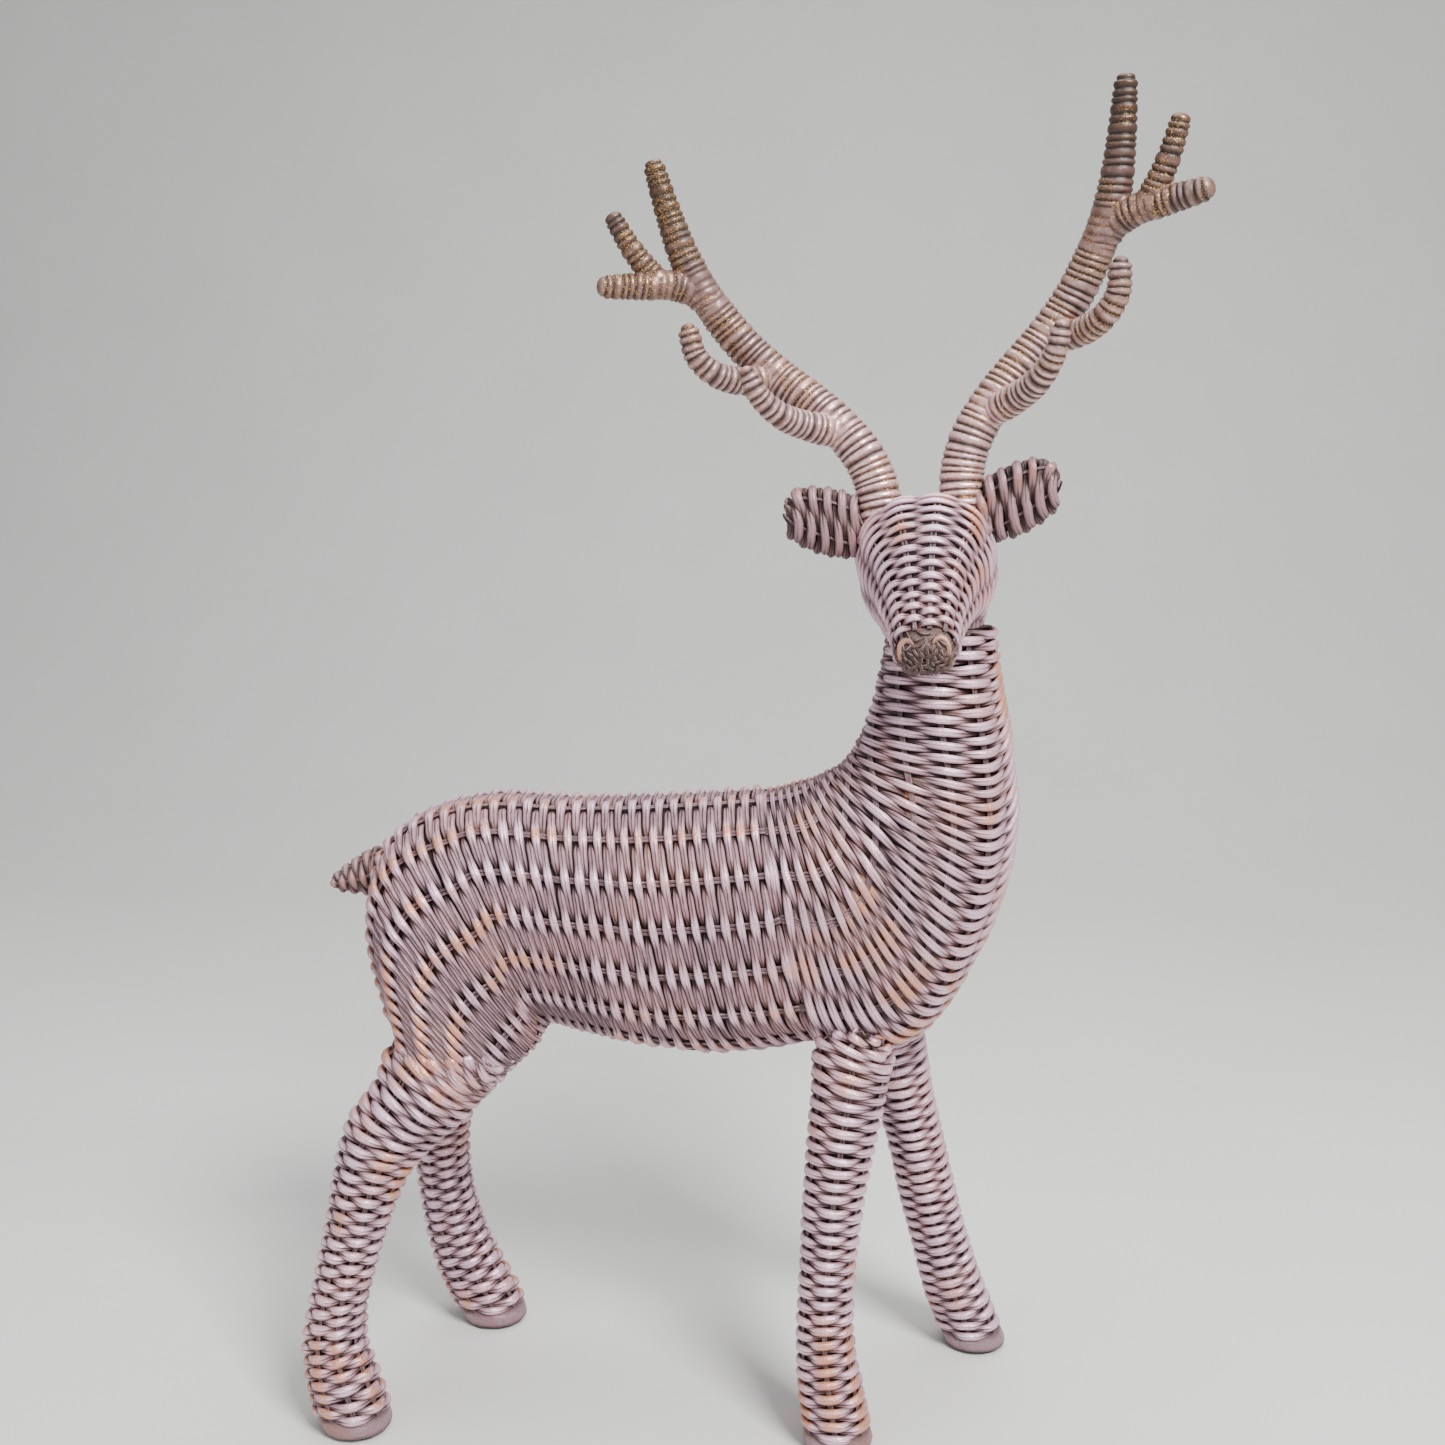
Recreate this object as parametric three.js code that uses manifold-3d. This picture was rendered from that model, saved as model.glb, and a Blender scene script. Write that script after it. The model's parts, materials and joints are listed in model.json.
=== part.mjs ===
// Standing stag ornament, cast in resin with a woven cane surface. Millimetres, +Z up.
// +X is the way the body faces, +Y is the stag's left side, and the origin is on the ground
// under the middle of its overall box. The body, neck, head, ears, tail and legs are castings
// glued together round bent steel wires. The two antlers plug into the head on square steel pins.
import * as THREE from "three";
import { mergeVertices } from "three/addons/utils/BufferGeometryUtils.js";
import Module from "manifold-3d";

const wasm = await Module();
wasm.setup();

// ---- driving dimensions -------------------------------------------------------------------
const GLUE_GAP = 0.3; // between two castings, and round every wire and pin
const WALL = 7; // thickness of the hollow body casting
const PAD_HEIGHT = 1; // felt under each hoof
const PAD_RADIUS = 8.5;
const HOOF_BOTTOM = PAD_HEIGHT + GLUE_GAP;
const LEG_WIRE_RADIUS = 1.6;
const NECK_WIRE_RADIUS = 2;
const PIN_SIDE = 4; // square antler pin
const PIN_LENGTH = 26; // half of it in the antler and half in the head
const POUR_HOLE = { x: 12, z: 145.5, radius: 9.3, depth: 14 };
const HEAD_ORIGIN = [101.8, 0.1, 317.5]; // on the neck's axis, level with the jaw
const HEAD_TURN = -97; // degrees from the body's heading: the stag looks out to its right
const HEAD_ROLL = 7; // degrees: its left ear is held higher
const EAR_LEAN = 24; // degrees the ears rise from level
const ANTLER_SEAT = [-6, 14.8, 37]; // in the head: forward, to the left, up
const SIDES = { left: 1, right: -1 };

// ---- geometry helpers ---------------------------------------------------------------------
const vector = (x, y, z) => new THREE.Vector3(x, y, z);
const mixed = (a, b, t) => a + (b - a) * t;
const degrees = THREE.MathUtils.degToRad;
const DOME_SWEEP = degrees(87); // a dome stops just short of its pole

// A cross-section is a centre, two half axes (side and rise), and how square and how
// wedge-shaped the outline is: power 2 is an ellipse, and taper narrows the top.
function section(centre, side, rise, power = 2, taper = 0) {
  return { centre, side, rise, power, taper };
}

// A cross-section of the body: its plane is square to the side view and runs from a point on
// the top line to a point on the bottom line, each given as [x, z].
function slice([topX, topZ], [bottomX, bottomZ], halfWidth, power = 2, taper = 0, y = 0) {
  const centre = vector((topX + bottomX) / 2, y, (topZ + bottomZ) / 2);
  const rise = vector((topX - bottomX) / 2, 0, (topZ - bottomZ) / 2);
  return section(centre, vector(0, halfWidth, 0), rise, power, taper);
}

// Moves a slice along its own normal, in the side view.
function shifted(cut, distance) {
  const normal = vector(-cut.rise.z, 0, cut.rise.x).normalize();
  return { ...cut, centre: cut.centre.clone().addScaledVector(normal, distance) };
}

// A number that follows a smooth curve through one value per section.
function smoothValue(values, t) {
  const curve = new THREE.CatmullRomCurve3(values.map((v) => vector(v, 0, 0)), false, "catmullrom");
  return curve.getPoint(t).x;
}

// A closed cylinder whose vertices are moved onto a smooth run of cross-sections. Growing it
// lengthens both half axes everywhere, which leaves the ends where they are.
function loft(sections, around, along, grow = 0) {
  const through = (key) =>
    new THREE.CatmullRomCurve3(sections.map((s) => s[key]), false, "catmullrom");
  const centres = through("centre");
  const sides = through("side");
  const rises = through("rise");
  const powers = sections.map((s) => s.power);
  const tapers = sections.map((s) => s.taper);
  const start = sections[0];
  const heading = sections[1].centre.clone().sub(start.centre);
  const hand = Math.sign(start.side.clone().cross(start.rise).dot(heading));

  const geometry = new THREE.CylinderGeometry(1, 1, 1, around, along);
  const position = geometry.getAttribute("position");
  for (let i = 0; i < position.count; i++) {
    const across = position.getX(i) * hand;
    const up = position.getZ(i);
    const t = THREE.MathUtils.clamp(0.5 - position.getY(i), 0, 1);
    const power = smoothValue(powers, t);
    const reach = Math.hypot(across, up);
    const square = (Math.abs(across) ** power + Math.abs(up) ** power) ** (1 / power);
    const spread = reach > 0.5 ? 1 / square : 0;
    const side = sides.getPoint(t);
    const rise = rises.getPoint(t);
    side.setLength(side.length() + grow);
    rise.setLength(rise.length() + grow);
    const wedge = 1 - smoothValue(tapers, t) * up * spread;
    const place = centres
      .getPoint(t)
      .addScaledVector(side, across * spread * wedge)
      .addScaledVector(rise, up * spread);
    position.setXYZ(i, place.x, place.y, place.z);
  }
  return solid(geometry);
}

// A round bar along a smooth path, tapering from root to tip. A domed tip takes the last steps.
function bar(points, rootRadius, tipRadius, around, along, domeSteps = 0) {
  const path = new THREE.CatmullRomCurve3(points);
  const frames = path.computeFrenetFrames(along);
  const shaftSteps = along - domeSteps;
  const shaftEnd = domeSteps ? 1 - tipRadius / path.getLength() : 1;
  const geometry = new THREE.CylinderGeometry(1, 1, 1, around, along);
  const position = geometry.getAttribute("position");
  for (let i = 0; i < position.count; i++) {
    const step = Math.round((0.5 - position.getY(i)) * along);
    let t = (Math.min(step, shaftSteps) / shaftSteps) * shaftEnd;
    let radius = mixed(rootRadius, tipRadius, t);
    if (step > shaftSteps) {
      const angle = ((step - shaftSteps) / domeSteps) * DOME_SWEEP;
      t = mixed(shaftEnd, 1, Math.sin(angle));
      radius = tipRadius * Math.cos(angle);
    }
    const place = path
      .getPointAt(t)
      .addScaledVector(frames.normals[step], position.getX(i) * radius)
      .addScaledVector(frames.binormals[step], position.getZ(i) * radius);
    position.setXYZ(i, place.x, place.y, place.z);
  }
  return solid(geometry);
}

// A three.js geometry as a solid that can be joined and cut.
function solid(geometry) {
  const bare = geometry.index ? geometry.toNonIndexed() : geometry.clone();
  bare.deleteAttribute("normal");
  bare.deleteAttribute("uv");
  const merged = mergeVertices(bare, 1e-4);
  const triVerts = new Uint32Array(merged.index.array);
  return new wasm.Manifold(
    new wasm.Mesh({ numProp: 3, vertProperties: merged.getAttribute("position").array, triVerts }),
  );
}

function geometryOf(body) {
  const mesh = body.getMesh();
  const geometry = new THREE.BufferGeometry();
  geometry.setAttribute("position", new THREE.BufferAttribute(mesh.vertProperties, 3));
  geometry.setIndex(new THREE.BufferAttribute(mesh.triVerts, 1));
  geometry.computeVertexNormals();
  return geometry;
}

// ---- body ---------------------------------------------------------------------------------
// The rows of cane lean back by about ten degrees, so the slices do too.
const SEAM = slice([42, 248.5], [60, 152.5], 37, 2.5, 0.04);
const TORSO_SLICES = [
  SEAM,
  slice([2, 245.5], [20, 146], 37, 2.3, 0.03),
  slice([-38, 244], [-20, 150.5], 36.5, 2.2, 0.03),
  // Behind the ribs the slices fan about the fold in front of the thigh.
  slice([-64, 245], [-38, 155.5], 37.5, 2.3),
  slice([-88, 240], [-40, 156.5], 40, 2.4),
  slice([-107, 228], [-41, 157], 42.5, 2.5),
  slice([-114, 204], [-42, 157], 44, 2.6),
  slice([-109, 177], [-43, 157], 45, 2.7),
  slice([-103, 153], [-43, 157], 45, 2.8),
];
const THIGH_SPLIT = TORSO_SLICES[TORSO_SLICES.length - 1];
const CROTCH = slice([-93, 148], [-53, 151], 24, 2.6);

// The chest and neck slices fan about the withers.
const NECK_SLICES = [
  shifted(SEAM, -GLUE_GAP),
  slice([56, 252.5], [84, 149], 37, 2.6, 0.05),
  slice([66, 257], [103, 159], 35.5, 2.5, 0.06),
  slice([73, 263.5], [119, 184], 32.5, 2.3, 0.05),
  slice([78.5, 275], [131, 213], 28, 2.1),
  slice([82, 285], [135, 239], 24, 2),
  slice([84, 296], [132.5, 266], 21.5, 2),
  slice([85.5, 306], [128, 290], 20, 2),
  slice([87, 318], [125, 310], 19, 2),
];

const torsoShape = (grow) =>
  loft(TORSO_SLICES, 24, 16, grow).add(loft([shifted(THIGH_SPLIT, -4), THIGH_SPLIT, CROTCH], 20, 4, grow));
const neckShape = (grow) => loft(NECK_SLICES, 22, 16, grow);

function bodyHollow() {
  const chest = NECK_SLICES.slice(1, 4).reverse();
  const ribs = TORSO_SLICES.slice(0, 6);
  return loft([...chest, ...ribs], 14, 8, -WALL);
}

function pourHole() {
  const { x, z, radius, depth } = POUR_HOLE;
  const hole = new THREE.CylinderGeometry(radius, radius, depth, 28);
  hole.rotateX(Math.PI / 2);
  hole.translate(x, 0, z + depth / 2 - 4);
  return solid(hole);
}

// A slightly tapered stopper with a chamfered outer edge, pushed in from below.
function pourPlug() {
  const { x, z, radius } = POUR_HOLE;
  const rim = radius - GLUE_GAP;
  const height = WALL + 2;
  const outline = [
    new THREE.Vector2(0, 0),
    new THREE.Vector2(rim - 1, 0),
    new THREE.Vector2(rim, 1),
    new THREE.Vector2(rim - 0.6, height),
    new THREE.Vector2(0, height),
  ];
  const plug = new THREE.LatheGeometry(outline, 28);
  plug.rotateX(Math.PI / 2);
  plug.translate(x, 0, z + 0.5);
  return solid(plug);
}

// ---- legs ---------------------------------------------------------------------------------
// Each row is one cross-section, from the body down to the hoof: the front edge [x, z], the
// back edge [x, z], the distance out from the middle of the body, and half the leg's width.
const LEGS = {
  front_right: {
    out: -1,
    rows: [
      [[96, 181], [62, 184], 18, 14],
      [[92, 165], [60, 167], 20, 14.5],
      [[89, 148], [61, 150], 23, 14.5],
      [[85, 130], [60, 132], 26, 13],
      [[79, 99], [58, 101], 29, 11],
      [[75.5, 66], [57, 67], 31.5, 9.4],
      [[76, 40], [56, 40], 33.5, 9.3],
      [[81, 16], [57.5, 16], 35, 10.6],
      [[84, HOOF_BOTTOM], [59, HOOF_BOTTOM], 35, 11.5],
    ],
  },
  front_left: {
    out: 1,
    rows: [
      [[99, 181], [70, 183], 18, 14],
      [[101, 163], [73, 163], 20, 14.5],
      [[103.5, 145], [77, 145], 23, 14.5],
      [[106, 125], [83, 122], 26, 13],
      [[111, 102], [91, 98], 29.5, 10.8],
      [[117, 77], [96, 73], 32.5, 9.6],
      [[123.5, 51], [102.5, 48], 35.5, 9.3],
      [[133, 23], [109, 21], 38, 10.2],
      [[142, HOOF_BOTTOM], [117.5, HOOF_BOTTOM], 39, 11.5],
    ],
  },
  hind_right: {
    out: -1,
    rows: [
      [[-43, 157], [-103, 153], 26, 19],
      [[-57, 143], [-105, 143], 27.5, 18.6],
      [[-72, 127], [-110, 134], 29.5, 16.5],
      [[-88, 112], [-117, 126], 31.5, 14],
      [[-98, 100], [-121.5, 111], 33, 11.8],
      [[-105, 82], [-125.5, 87], 35, 10],
      [[-112, 58], [-131, 60], 37.5, 9.3],
      [[-115, 36], [-136, 36], 39, 9.5],
      [[-107, 14], [-134, 14], 41, 11],
      [[-104, HOOF_BOTTOM], [-129, HOOF_BOTTOM], 41, 11.5],
    ],
  },
  hind_left: {
    out: 1,
    rows: [
      [[-43, 157], [-103, 153], 26, 19],
      [[-57, 142], [-104, 142], 27.5, 18.6],
      [[-72, 125], [-106, 132], 29, 16.5],
      [[-85, 108], [-110, 118], 31, 13.5],
      [[-91, 92], [-112, 97], 33, 11],
      [[-92, 72], [-112, 74], 35.5, 9.7],
      [[-88, 50], [-110, 51], 37, 9.3],
      [[-80, 28], [-107, 31], 38.5, 9.8],
      [[-72, 13], [-101, 14], 39, 11],
      [[-68, HOOF_BOTTOM], [-93, HOOF_BOTTOM], 39, 11.5],
    ],
  },
};

const legSlices = ({ out, rows }) =>
  rows.map(([front, back, y, halfWidth]) => slice(front, back, halfWidth, 2.15, 0, out * y));

function legShape(name) {
  const slices = legSlices(LEGS[name]);
  if (name.startsWith("hind")) {
    // The thigh meets the body in a flat joint.
    slices[0] = shifted({ ...slices[0], power: 2.8 }, -GLUE_GAP);
  }
  return loft(slices, 14, 14);
}

// The wire starts just above the hoof and ends inside the body.
function legWirePath(name) {
  const centres = legSlices(LEGS[name]).map((cut) => cut.centre);
  const foot = centres[centres.length - 1].clone().setZ(HOOF_BOTTOM + 6);
  const middle = centres.slice(1, -1).reverse();
  const top = centres[0].clone();
  if (name.startsWith("hind")) top.add(vector(6, 0, 22));
  return [foot, ...middle, top];
}

const legWire = (name, clearance = 0) => {
  const radius = LEG_WIRE_RADIUS + clearance;
  return bar(legWirePath(name), radius, radius, 6, 10);
};

// ---- head, in its own frame: x forward, y to the left, z up ----------------------------------
const HEAD_SLICES = [
  slice([-21, 27], [-24, 14], 9, 2),
  slice([-17, 36], [-23, 1], 19, 2.1),
  slice([-8, 42], [-18, -9], 24, 2.3),
  slice([5, 42.5], [-8, -14], 25, 2.4, 0.05),
  slice([16, 35], [3, -15], 23.5, 2.3, 0.05),
  slice([26, 23], [15, -14], 19, 2.2),
  slice([35, 11], [25, -15], 14.5, 2.2),
  slice([43, 1], [35, -18], 12, 2.3),
  slice([47, -5], [41, -18], 10.5, 2.3),
  slice([48.5, -8.5], [45, -16], 6.5, 2.1),
];
const headShape = (grow) => loft(HEAD_SLICES, 20, 16, grow);

// Room for an antler's collar, which sits close beside the ear.
function collarRoom(side) {
  const radius = COLLAR_RADIUS + 2 * GLUE_GAP;
  const room = new THREE.CylinderGeometry(radius, radius, 40, 20);
  room.rotateX(Math.PI / 2);
  room.translate(ANTLER_SEAT[0], side * ANTLER_SEAT[1], ANTLER_SEAT[2] + 14);
  return solid(room);
}

// A flat leaf that stands out from the side of the head.
function earShape(side) {
  const leaf = (out, up, halfLength, halfThickness, forward) => {
    const lean = degrees(EAR_LEAN);
    return section(
      vector(forward, side * out, up),
      vector(halfThickness, 0, 0),
      vector(0, -side * Math.sin(lean) * halfLength, Math.cos(lean) * halfLength),
      2.3,
    );
  };
  return loft(
    [
      leaf(19.5, 31, 6.5, 3.2, -5),
      leaf(26, 34.5, 10.8, 3.6, -4),
      leaf(35, 38.5, 12, 3.6, -2.5),
      leaf(43, 41.8, 10.6, 3.3, -1.5),
      leaf(48.6, 44.3, 7.4, 2.6, -1),
      leaf(50.8, 45.3, 3.4, 1.6, -1),
    ],
    12,
    8,
  );
}

// ---- antlers, in the head's frame, for the left side ------------------------------------------
const BEAM = [
  [-6, 14.8, 37],
  [-8, 16.3, 51],
  [-9, 20.8, 63],
  [-11, 29.5, 75],
  [-14, 39.6, 85.5],
  [-16, 50.4, 95.8],
  [-16, 60.5, 107.2],
  [-14, 68.3, 118.8],
  [-10, 76, 133],
];
const TINES = {
  top: {
    points: [[-11.5, 73.5, 127], [-7, 79, 143], [-3, 82.5, 160], [0, 84.8, 175]],
    root: 5.9,
    tip: 3.2,
  },
  outer: {
    points: [[-11, 75, 130], [-6, 83, 133.5], [0, 94, 134.2], [7, 106.5, 134.8]],
    root: 5.3,
    tip: 3.4,
  },
  middle: {
    points: [[-3, 88, 134], [0, 93, 141], [3.5, 97.5, 149.5], [6, 100.9, 158]],
    root: 4.1,
    tip: 2.8,
  },
  brow: {
    points: [[-10, 27, 71], [-2, 37, 74], [8, 46, 78.5], [15, 52.5, 86], [17, 55.5, 94]],
    root: 5.2,
    tip: 2.8,
  },
  second: {
    points: [[-15, 52, 96.5], [-9, 61, 94.8], [1, 70, 97.5], [6.5, 76, 104.5], [8, 77.5, 113]],
    root: 4.6,
    tip: 3.2,
  },
};
const BEAM_RADIUS = { root: 7, tip: 5.5 };
const COLLAR_RADIUS = 8;
const FORK = { place: [-10.5, 75.5, 131.5], radius: 5.6 }; // where the top tines part

function antlerShape(side) {
  const place = ([forward, out, up]) => vector(forward, side * out, up);
  const beam = bar(BEAM.map(place), BEAM_RADIUS.root, BEAM_RADIUS.tip, 12, 16);
  const collarOutline = [
    new THREE.Vector2(0, -4),
    new THREE.Vector2(COLLAR_RADIUS - 0.6, -4),
    new THREE.Vector2(COLLAR_RADIUS, 0),
    new THREE.Vector2(COLLAR_RADIUS - 0.4, 3),
    new THREE.Vector2(BEAM_RADIUS.root - 1, 6.5),
    new THREE.Vector2(0, 6.5),
  ];
  const collar = new THREE.LatheGeometry(collarOutline, 12);
  collar.rotateX(Math.PI / 2);
  collar.translate(ANTLER_SEAT[0], side * ANTLER_SEAT[1], ANTLER_SEAT[2]);
  const fork = new THREE.SphereGeometry(FORK.radius, 10, 6);
  fork.translate(...place(FORK.place).toArray());
  let antler = beam.add(solid(collar)).add(solid(fork));
  for (const { points, root, tip } of Object.values(TINES)) {
    antler = antler.add(bar(points.map(place), root, tip, 8, 8, 3));
  }
  return antler;
}

// The square pin stands up from the head and runs into the antler.
function antlerPin(side, clearance = 0) {
  const width = PIN_SIDE + 2 * clearance;
  const pin = new THREE.BoxGeometry(width, width, PIN_LENGTH + 2 * clearance);
  pin.translate(ANTLER_SEAT[0], side * ANTLER_SEAT[1], ANTLER_SEAT[2]);
  return solid(pin);
}

// ---- tail ---------------------------------------------------------------------------------
function tailShape() {
  return loft(
    [
      slice([-103, 227], [-106, 204], 9),
      slice([-117, 221.5], [-117, 205], 8.2),
      slice([-124, 217], [-123.5, 205.5], 6.2),
      slice([-130, 212.5], [-129, 205.8], 4),
      slice([-132.5, 210], [-132, 207], 1.8),
    ],
    12,
    9,
  );
}

// ---- head placed on the neck ----------------------------------------------------------------
const headGroup = new THREE.Group();
headGroup.position.set(...HEAD_ORIGIN);
headGroup.rotation.set(degrees(HEAD_ROLL), 0, degrees(HEAD_TURN), "ZYX");
headGroup.updateMatrix();
const intoBody = (body) => body.transform(headGroup.matrix.toArray());
const intoHead = (body) => body.transform(headGroup.matrix.clone().invert().toArray());

const neckWire = (clearance = 0) => {
  const radius = NECK_WIRE_RADIUS + clearance;
  const path = [vector(78, 0, 222), vector(98, 0, 255), vector(107, 0, 290), vector(103, 0, 330)];
  return bar(path, radius, radius, 8, 8);
};

// ---- assembly -----------------------------------------------------------------------------
const CAST = { color: 0x9a8d92, roughness: 0.55, metalness: 0.35 };
const DARK_CAST = { color: 0x6a5d60, roughness: 0.55, metalness: 0.35 };
const BRONZE_CAST = { color: 0xa07a62, roughness: 0.42, metalness: 0.55 };
const STEEL = { color: 0xa9adb0, roughness: 0.35, metalness: 1 };
const FELT = { color: 0x3a3634, roughness: 0.95, metalness: 0 };
const RUBBER = { color: 0x4b4644, roughness: 0.85, metalness: 0 };

function addPiece(group, name, body, finish) {
  const piece = new THREE.Mesh(geometryOf(body), new THREE.MeshStandardMaterial(finish));
  piece.name = name;
  group.add(piece);
}

function addTrunk(group) {
  const hollow = bodyHollow();
  const wires = Object.keys(LEGS).map((name) => legWire(name, GLUE_GAP));
  const socket = intoBody(headShape(GLUE_GAP));
  let torso = torsoShape(0).subtract(hollow).subtract(pourHole());
  let neck = neckShape(0).subtract(hollow).subtract(neckWire(GLUE_GAP)).subtract(socket);
  for (const wire of wires) {
    torso = torso.subtract(wire);
    neck = neck.subtract(wire);
  }
  addPiece(group, "torso_casting", torso, CAST);
  addPiece(group, "neck_casting", neck, CAST);
  addPiece(group, "tail", tailShape().subtract(torsoShape(GLUE_GAP)), DARK_CAST);
  addPiece(group, "pour_hole_plug", pourPlug(), RUBBER);
  addPiece(group, "neck_wire", neckWire(), STEEL);
}

function addLegs(group) {
  const grownTorso = torsoShape(GLUE_GAP);
  const grownNeck = neckShape(GLUE_GAP);
  for (const name of Object.keys(LEGS)) {
    const bore = legWire(name, GLUE_GAP);
    const leg = legShape(name).subtract(grownTorso).subtract(grownNeck).subtract(bore);
    addPiece(group, `leg_${name}`, leg, CAST);
    addPiece(group, `leg_wire_${name}`, legWire(name), STEEL);
    addFootPad(group, name);
  }
}

function addFootPad(group, name) {
  const pad = new THREE.Mesh(
    new THREE.CylinderGeometry(PAD_RADIUS, PAD_RADIUS, PAD_HEIGHT, 24),
    new THREE.MeshStandardMaterial(FELT),
  );
  const hoof = legSlices(LEGS[name]).pop().centre;
  pad.position.set(hoof.x, hoof.y, PAD_HEIGHT / 2);
  pad.rotation.x = Math.PI / 2;
  pad.name = `foot_pad_${name}`;
  group.add(pad);
}

function addHead(group) {
  const grownHead = headShape(GLUE_GAP);
  let head = headShape(0).subtract(intoHead(neckWire(GLUE_GAP)));
  for (const [name, side] of Object.entries(SIDES)) {
    const pinRoom = antlerPin(side, GLUE_GAP);
    head = head.subtract(pinRoom);
    const ear = earShape(side).subtract(collarRoom(side)).subtract(grownHead);
    addPiece(group, `ear_${name}`, ear, DARK_CAST);
    const antler = antlerShape(side).subtract(pinRoom).subtract(grownHead);
    addPiece(group, `antler_${name}`, antler, BRONZE_CAST);
    addPiece(group, `antler_pin_${name}`, antlerPin(side), STEEL);
  }
  addPiece(group, "head_casting", head, CAST);
}

const stag = new THREE.Group();
addTrunk(stag);
addLegs(stag);
addHead(headGroup);
stag.add(headGroup);

// The pieces are laid out from a point midway between the hooves. The whole figure then moves,
// so that the origin is under the middle of its overall box.
const middle = new THREE.Box3().setFromObject(stag, true).getCenter(vector(0, 0, 0));
stag.position.set(-middle.x, -middle.y, 0);

export default stag;
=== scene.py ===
import json
import math
from dataclasses import dataclass

import bmesh
import bpy
import numpy as np
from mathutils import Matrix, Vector
from mathutils.bvhtree import BVHTree


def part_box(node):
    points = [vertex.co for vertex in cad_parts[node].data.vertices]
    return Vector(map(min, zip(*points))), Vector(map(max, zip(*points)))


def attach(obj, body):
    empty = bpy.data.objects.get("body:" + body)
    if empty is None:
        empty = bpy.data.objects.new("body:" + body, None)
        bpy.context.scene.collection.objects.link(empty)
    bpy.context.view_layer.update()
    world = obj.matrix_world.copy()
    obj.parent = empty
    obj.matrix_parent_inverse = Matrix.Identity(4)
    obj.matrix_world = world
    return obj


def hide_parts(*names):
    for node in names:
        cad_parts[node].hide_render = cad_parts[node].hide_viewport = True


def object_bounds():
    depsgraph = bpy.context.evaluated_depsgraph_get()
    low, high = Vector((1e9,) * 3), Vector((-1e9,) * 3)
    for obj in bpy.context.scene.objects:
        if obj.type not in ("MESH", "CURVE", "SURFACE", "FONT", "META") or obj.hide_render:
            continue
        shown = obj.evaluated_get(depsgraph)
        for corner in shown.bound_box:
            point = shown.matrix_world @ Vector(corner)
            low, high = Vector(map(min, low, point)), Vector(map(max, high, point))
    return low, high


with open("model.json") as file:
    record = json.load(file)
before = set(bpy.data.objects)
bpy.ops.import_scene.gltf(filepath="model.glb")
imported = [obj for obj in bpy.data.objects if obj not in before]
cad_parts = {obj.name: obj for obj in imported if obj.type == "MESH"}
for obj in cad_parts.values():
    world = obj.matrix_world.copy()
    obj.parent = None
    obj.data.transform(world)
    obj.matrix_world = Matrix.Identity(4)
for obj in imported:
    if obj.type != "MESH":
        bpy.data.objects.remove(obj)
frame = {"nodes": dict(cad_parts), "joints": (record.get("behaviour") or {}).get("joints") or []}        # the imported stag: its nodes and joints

# A standing stag ornament with the look of woven cane. Every casting of the frame is covered
# with its own weave: strands that pass over and under stakes, on a dark core. Metres, +Z up;
# +X is the way the body faces, and the head looks out to the stag's right, along -Y.

CAD_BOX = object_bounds()
MM = 0.001
RANDOM_SEED = 7

# ---- driving dimensions of the weave ----
CORE_DEPTH = 1.9 * MM     # the dark core lies this far below the casting's surface
ROW_STEP = 2.4 * MM       # between two rows of the measured surface
STRAND_SIDES = 8          # points round a strand
ROD_SIDES = 6             # points round a stake rod
COIL_PITCH = 2.85 * MM    # of the strand wound round the antlers
HOOF_HEIGHT = 6.0 * MM    # of the smooth band at the foot of each leg
ANTLER_VOXEL = 0.42 * MM  # of the mesh that fuses an antler's limbs
GROOVE_WIDTH = 0.45       # mm, of the fine groove that runs along a strand, painted darker as its shade
UNDER_DIP = 1.5           # a strand dips under a stake this much further than it rises over one
CROWDED = 0.66            # share of the usual pitch below which rows count as crowded
SUNK = 3.5 * MM           # how far a strand dips into the core where the rows are crowded
CROWD_GROWTH = 0.8        # how much the strands that stay up widen there
SMALL, LARGE = 0.3, 1.45  # least and greatest room between rows, as shares of the pitch


@dataclass
class Weave:
    """How one casting is woven. Lengths are given in mm, and kept in metres."""
    pitch: float          # from one strand to the next
    stakes: int           # an even number
    swing: float          # how far a strand rises over a stake
    thick: float          # of a strand
    rod: float = 0.50     # half the width of one rod of a stake
    rods: int = 2         # side by side in one stake
    lens: float = 0.8     # above 1 a strand lies level between stakes, below 1 it stays up long
    fill: float = 1.06    # a strand's usual width as a share of the pitch
    spread: float = 0.28  # how much it widens on top

    def __post_init__(self):
        for name in ("pitch", "swing", "thick", "rod"):
            setattr(self, name, getattr(self, name) * MM)


TORSO_WEAVE = Weave(2.7, 16, 1.25, 2.0, rod=0.56, lens=3.4, fill=0.97, spread=0.25)
NECK_WEAVE = Weave(2.7, 16, 1.15, 2.3, rods=3, fill=1.08)
LEG_WEAVE = Weave(2.6, 6, 0.95, 2.4)
THIGH_WEAVE = Weave(2.8, 8, 0.95, 2.4, lens=1.0, spread=0.26)
HEAD_WEAVE = Weave(2.5, 12, 0.95, 1.9, fill=0.95, spread=0.14)
EAR_WEAVE = Weave(2.7, 4, 0.95, 2.5, rods=1, fill=1.08, spread=0.15)
TAIL_WEAVE = Weave(2.6, 6, 0.5, 2.5, rod=0.62, rods=1, lens=1.0, fill=0.95, spread=0.20)

rng = np.random.default_rng(RANDOM_SEED)


# ---- small geometry helpers ----
def unit(vectors):
    """Vectors scaled to length one, along the last axis."""
    length = np.linalg.norm(vectors, axis=-1, keepdims=True)
    return vectors / np.maximum(length, 1e-12)


def smooth_step(value):
    """0 below 0, 1 above 1, and a smooth ramp between."""
    value = np.clip(value, 0, 1)
    return value * value * (3 - 2 * value)


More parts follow.
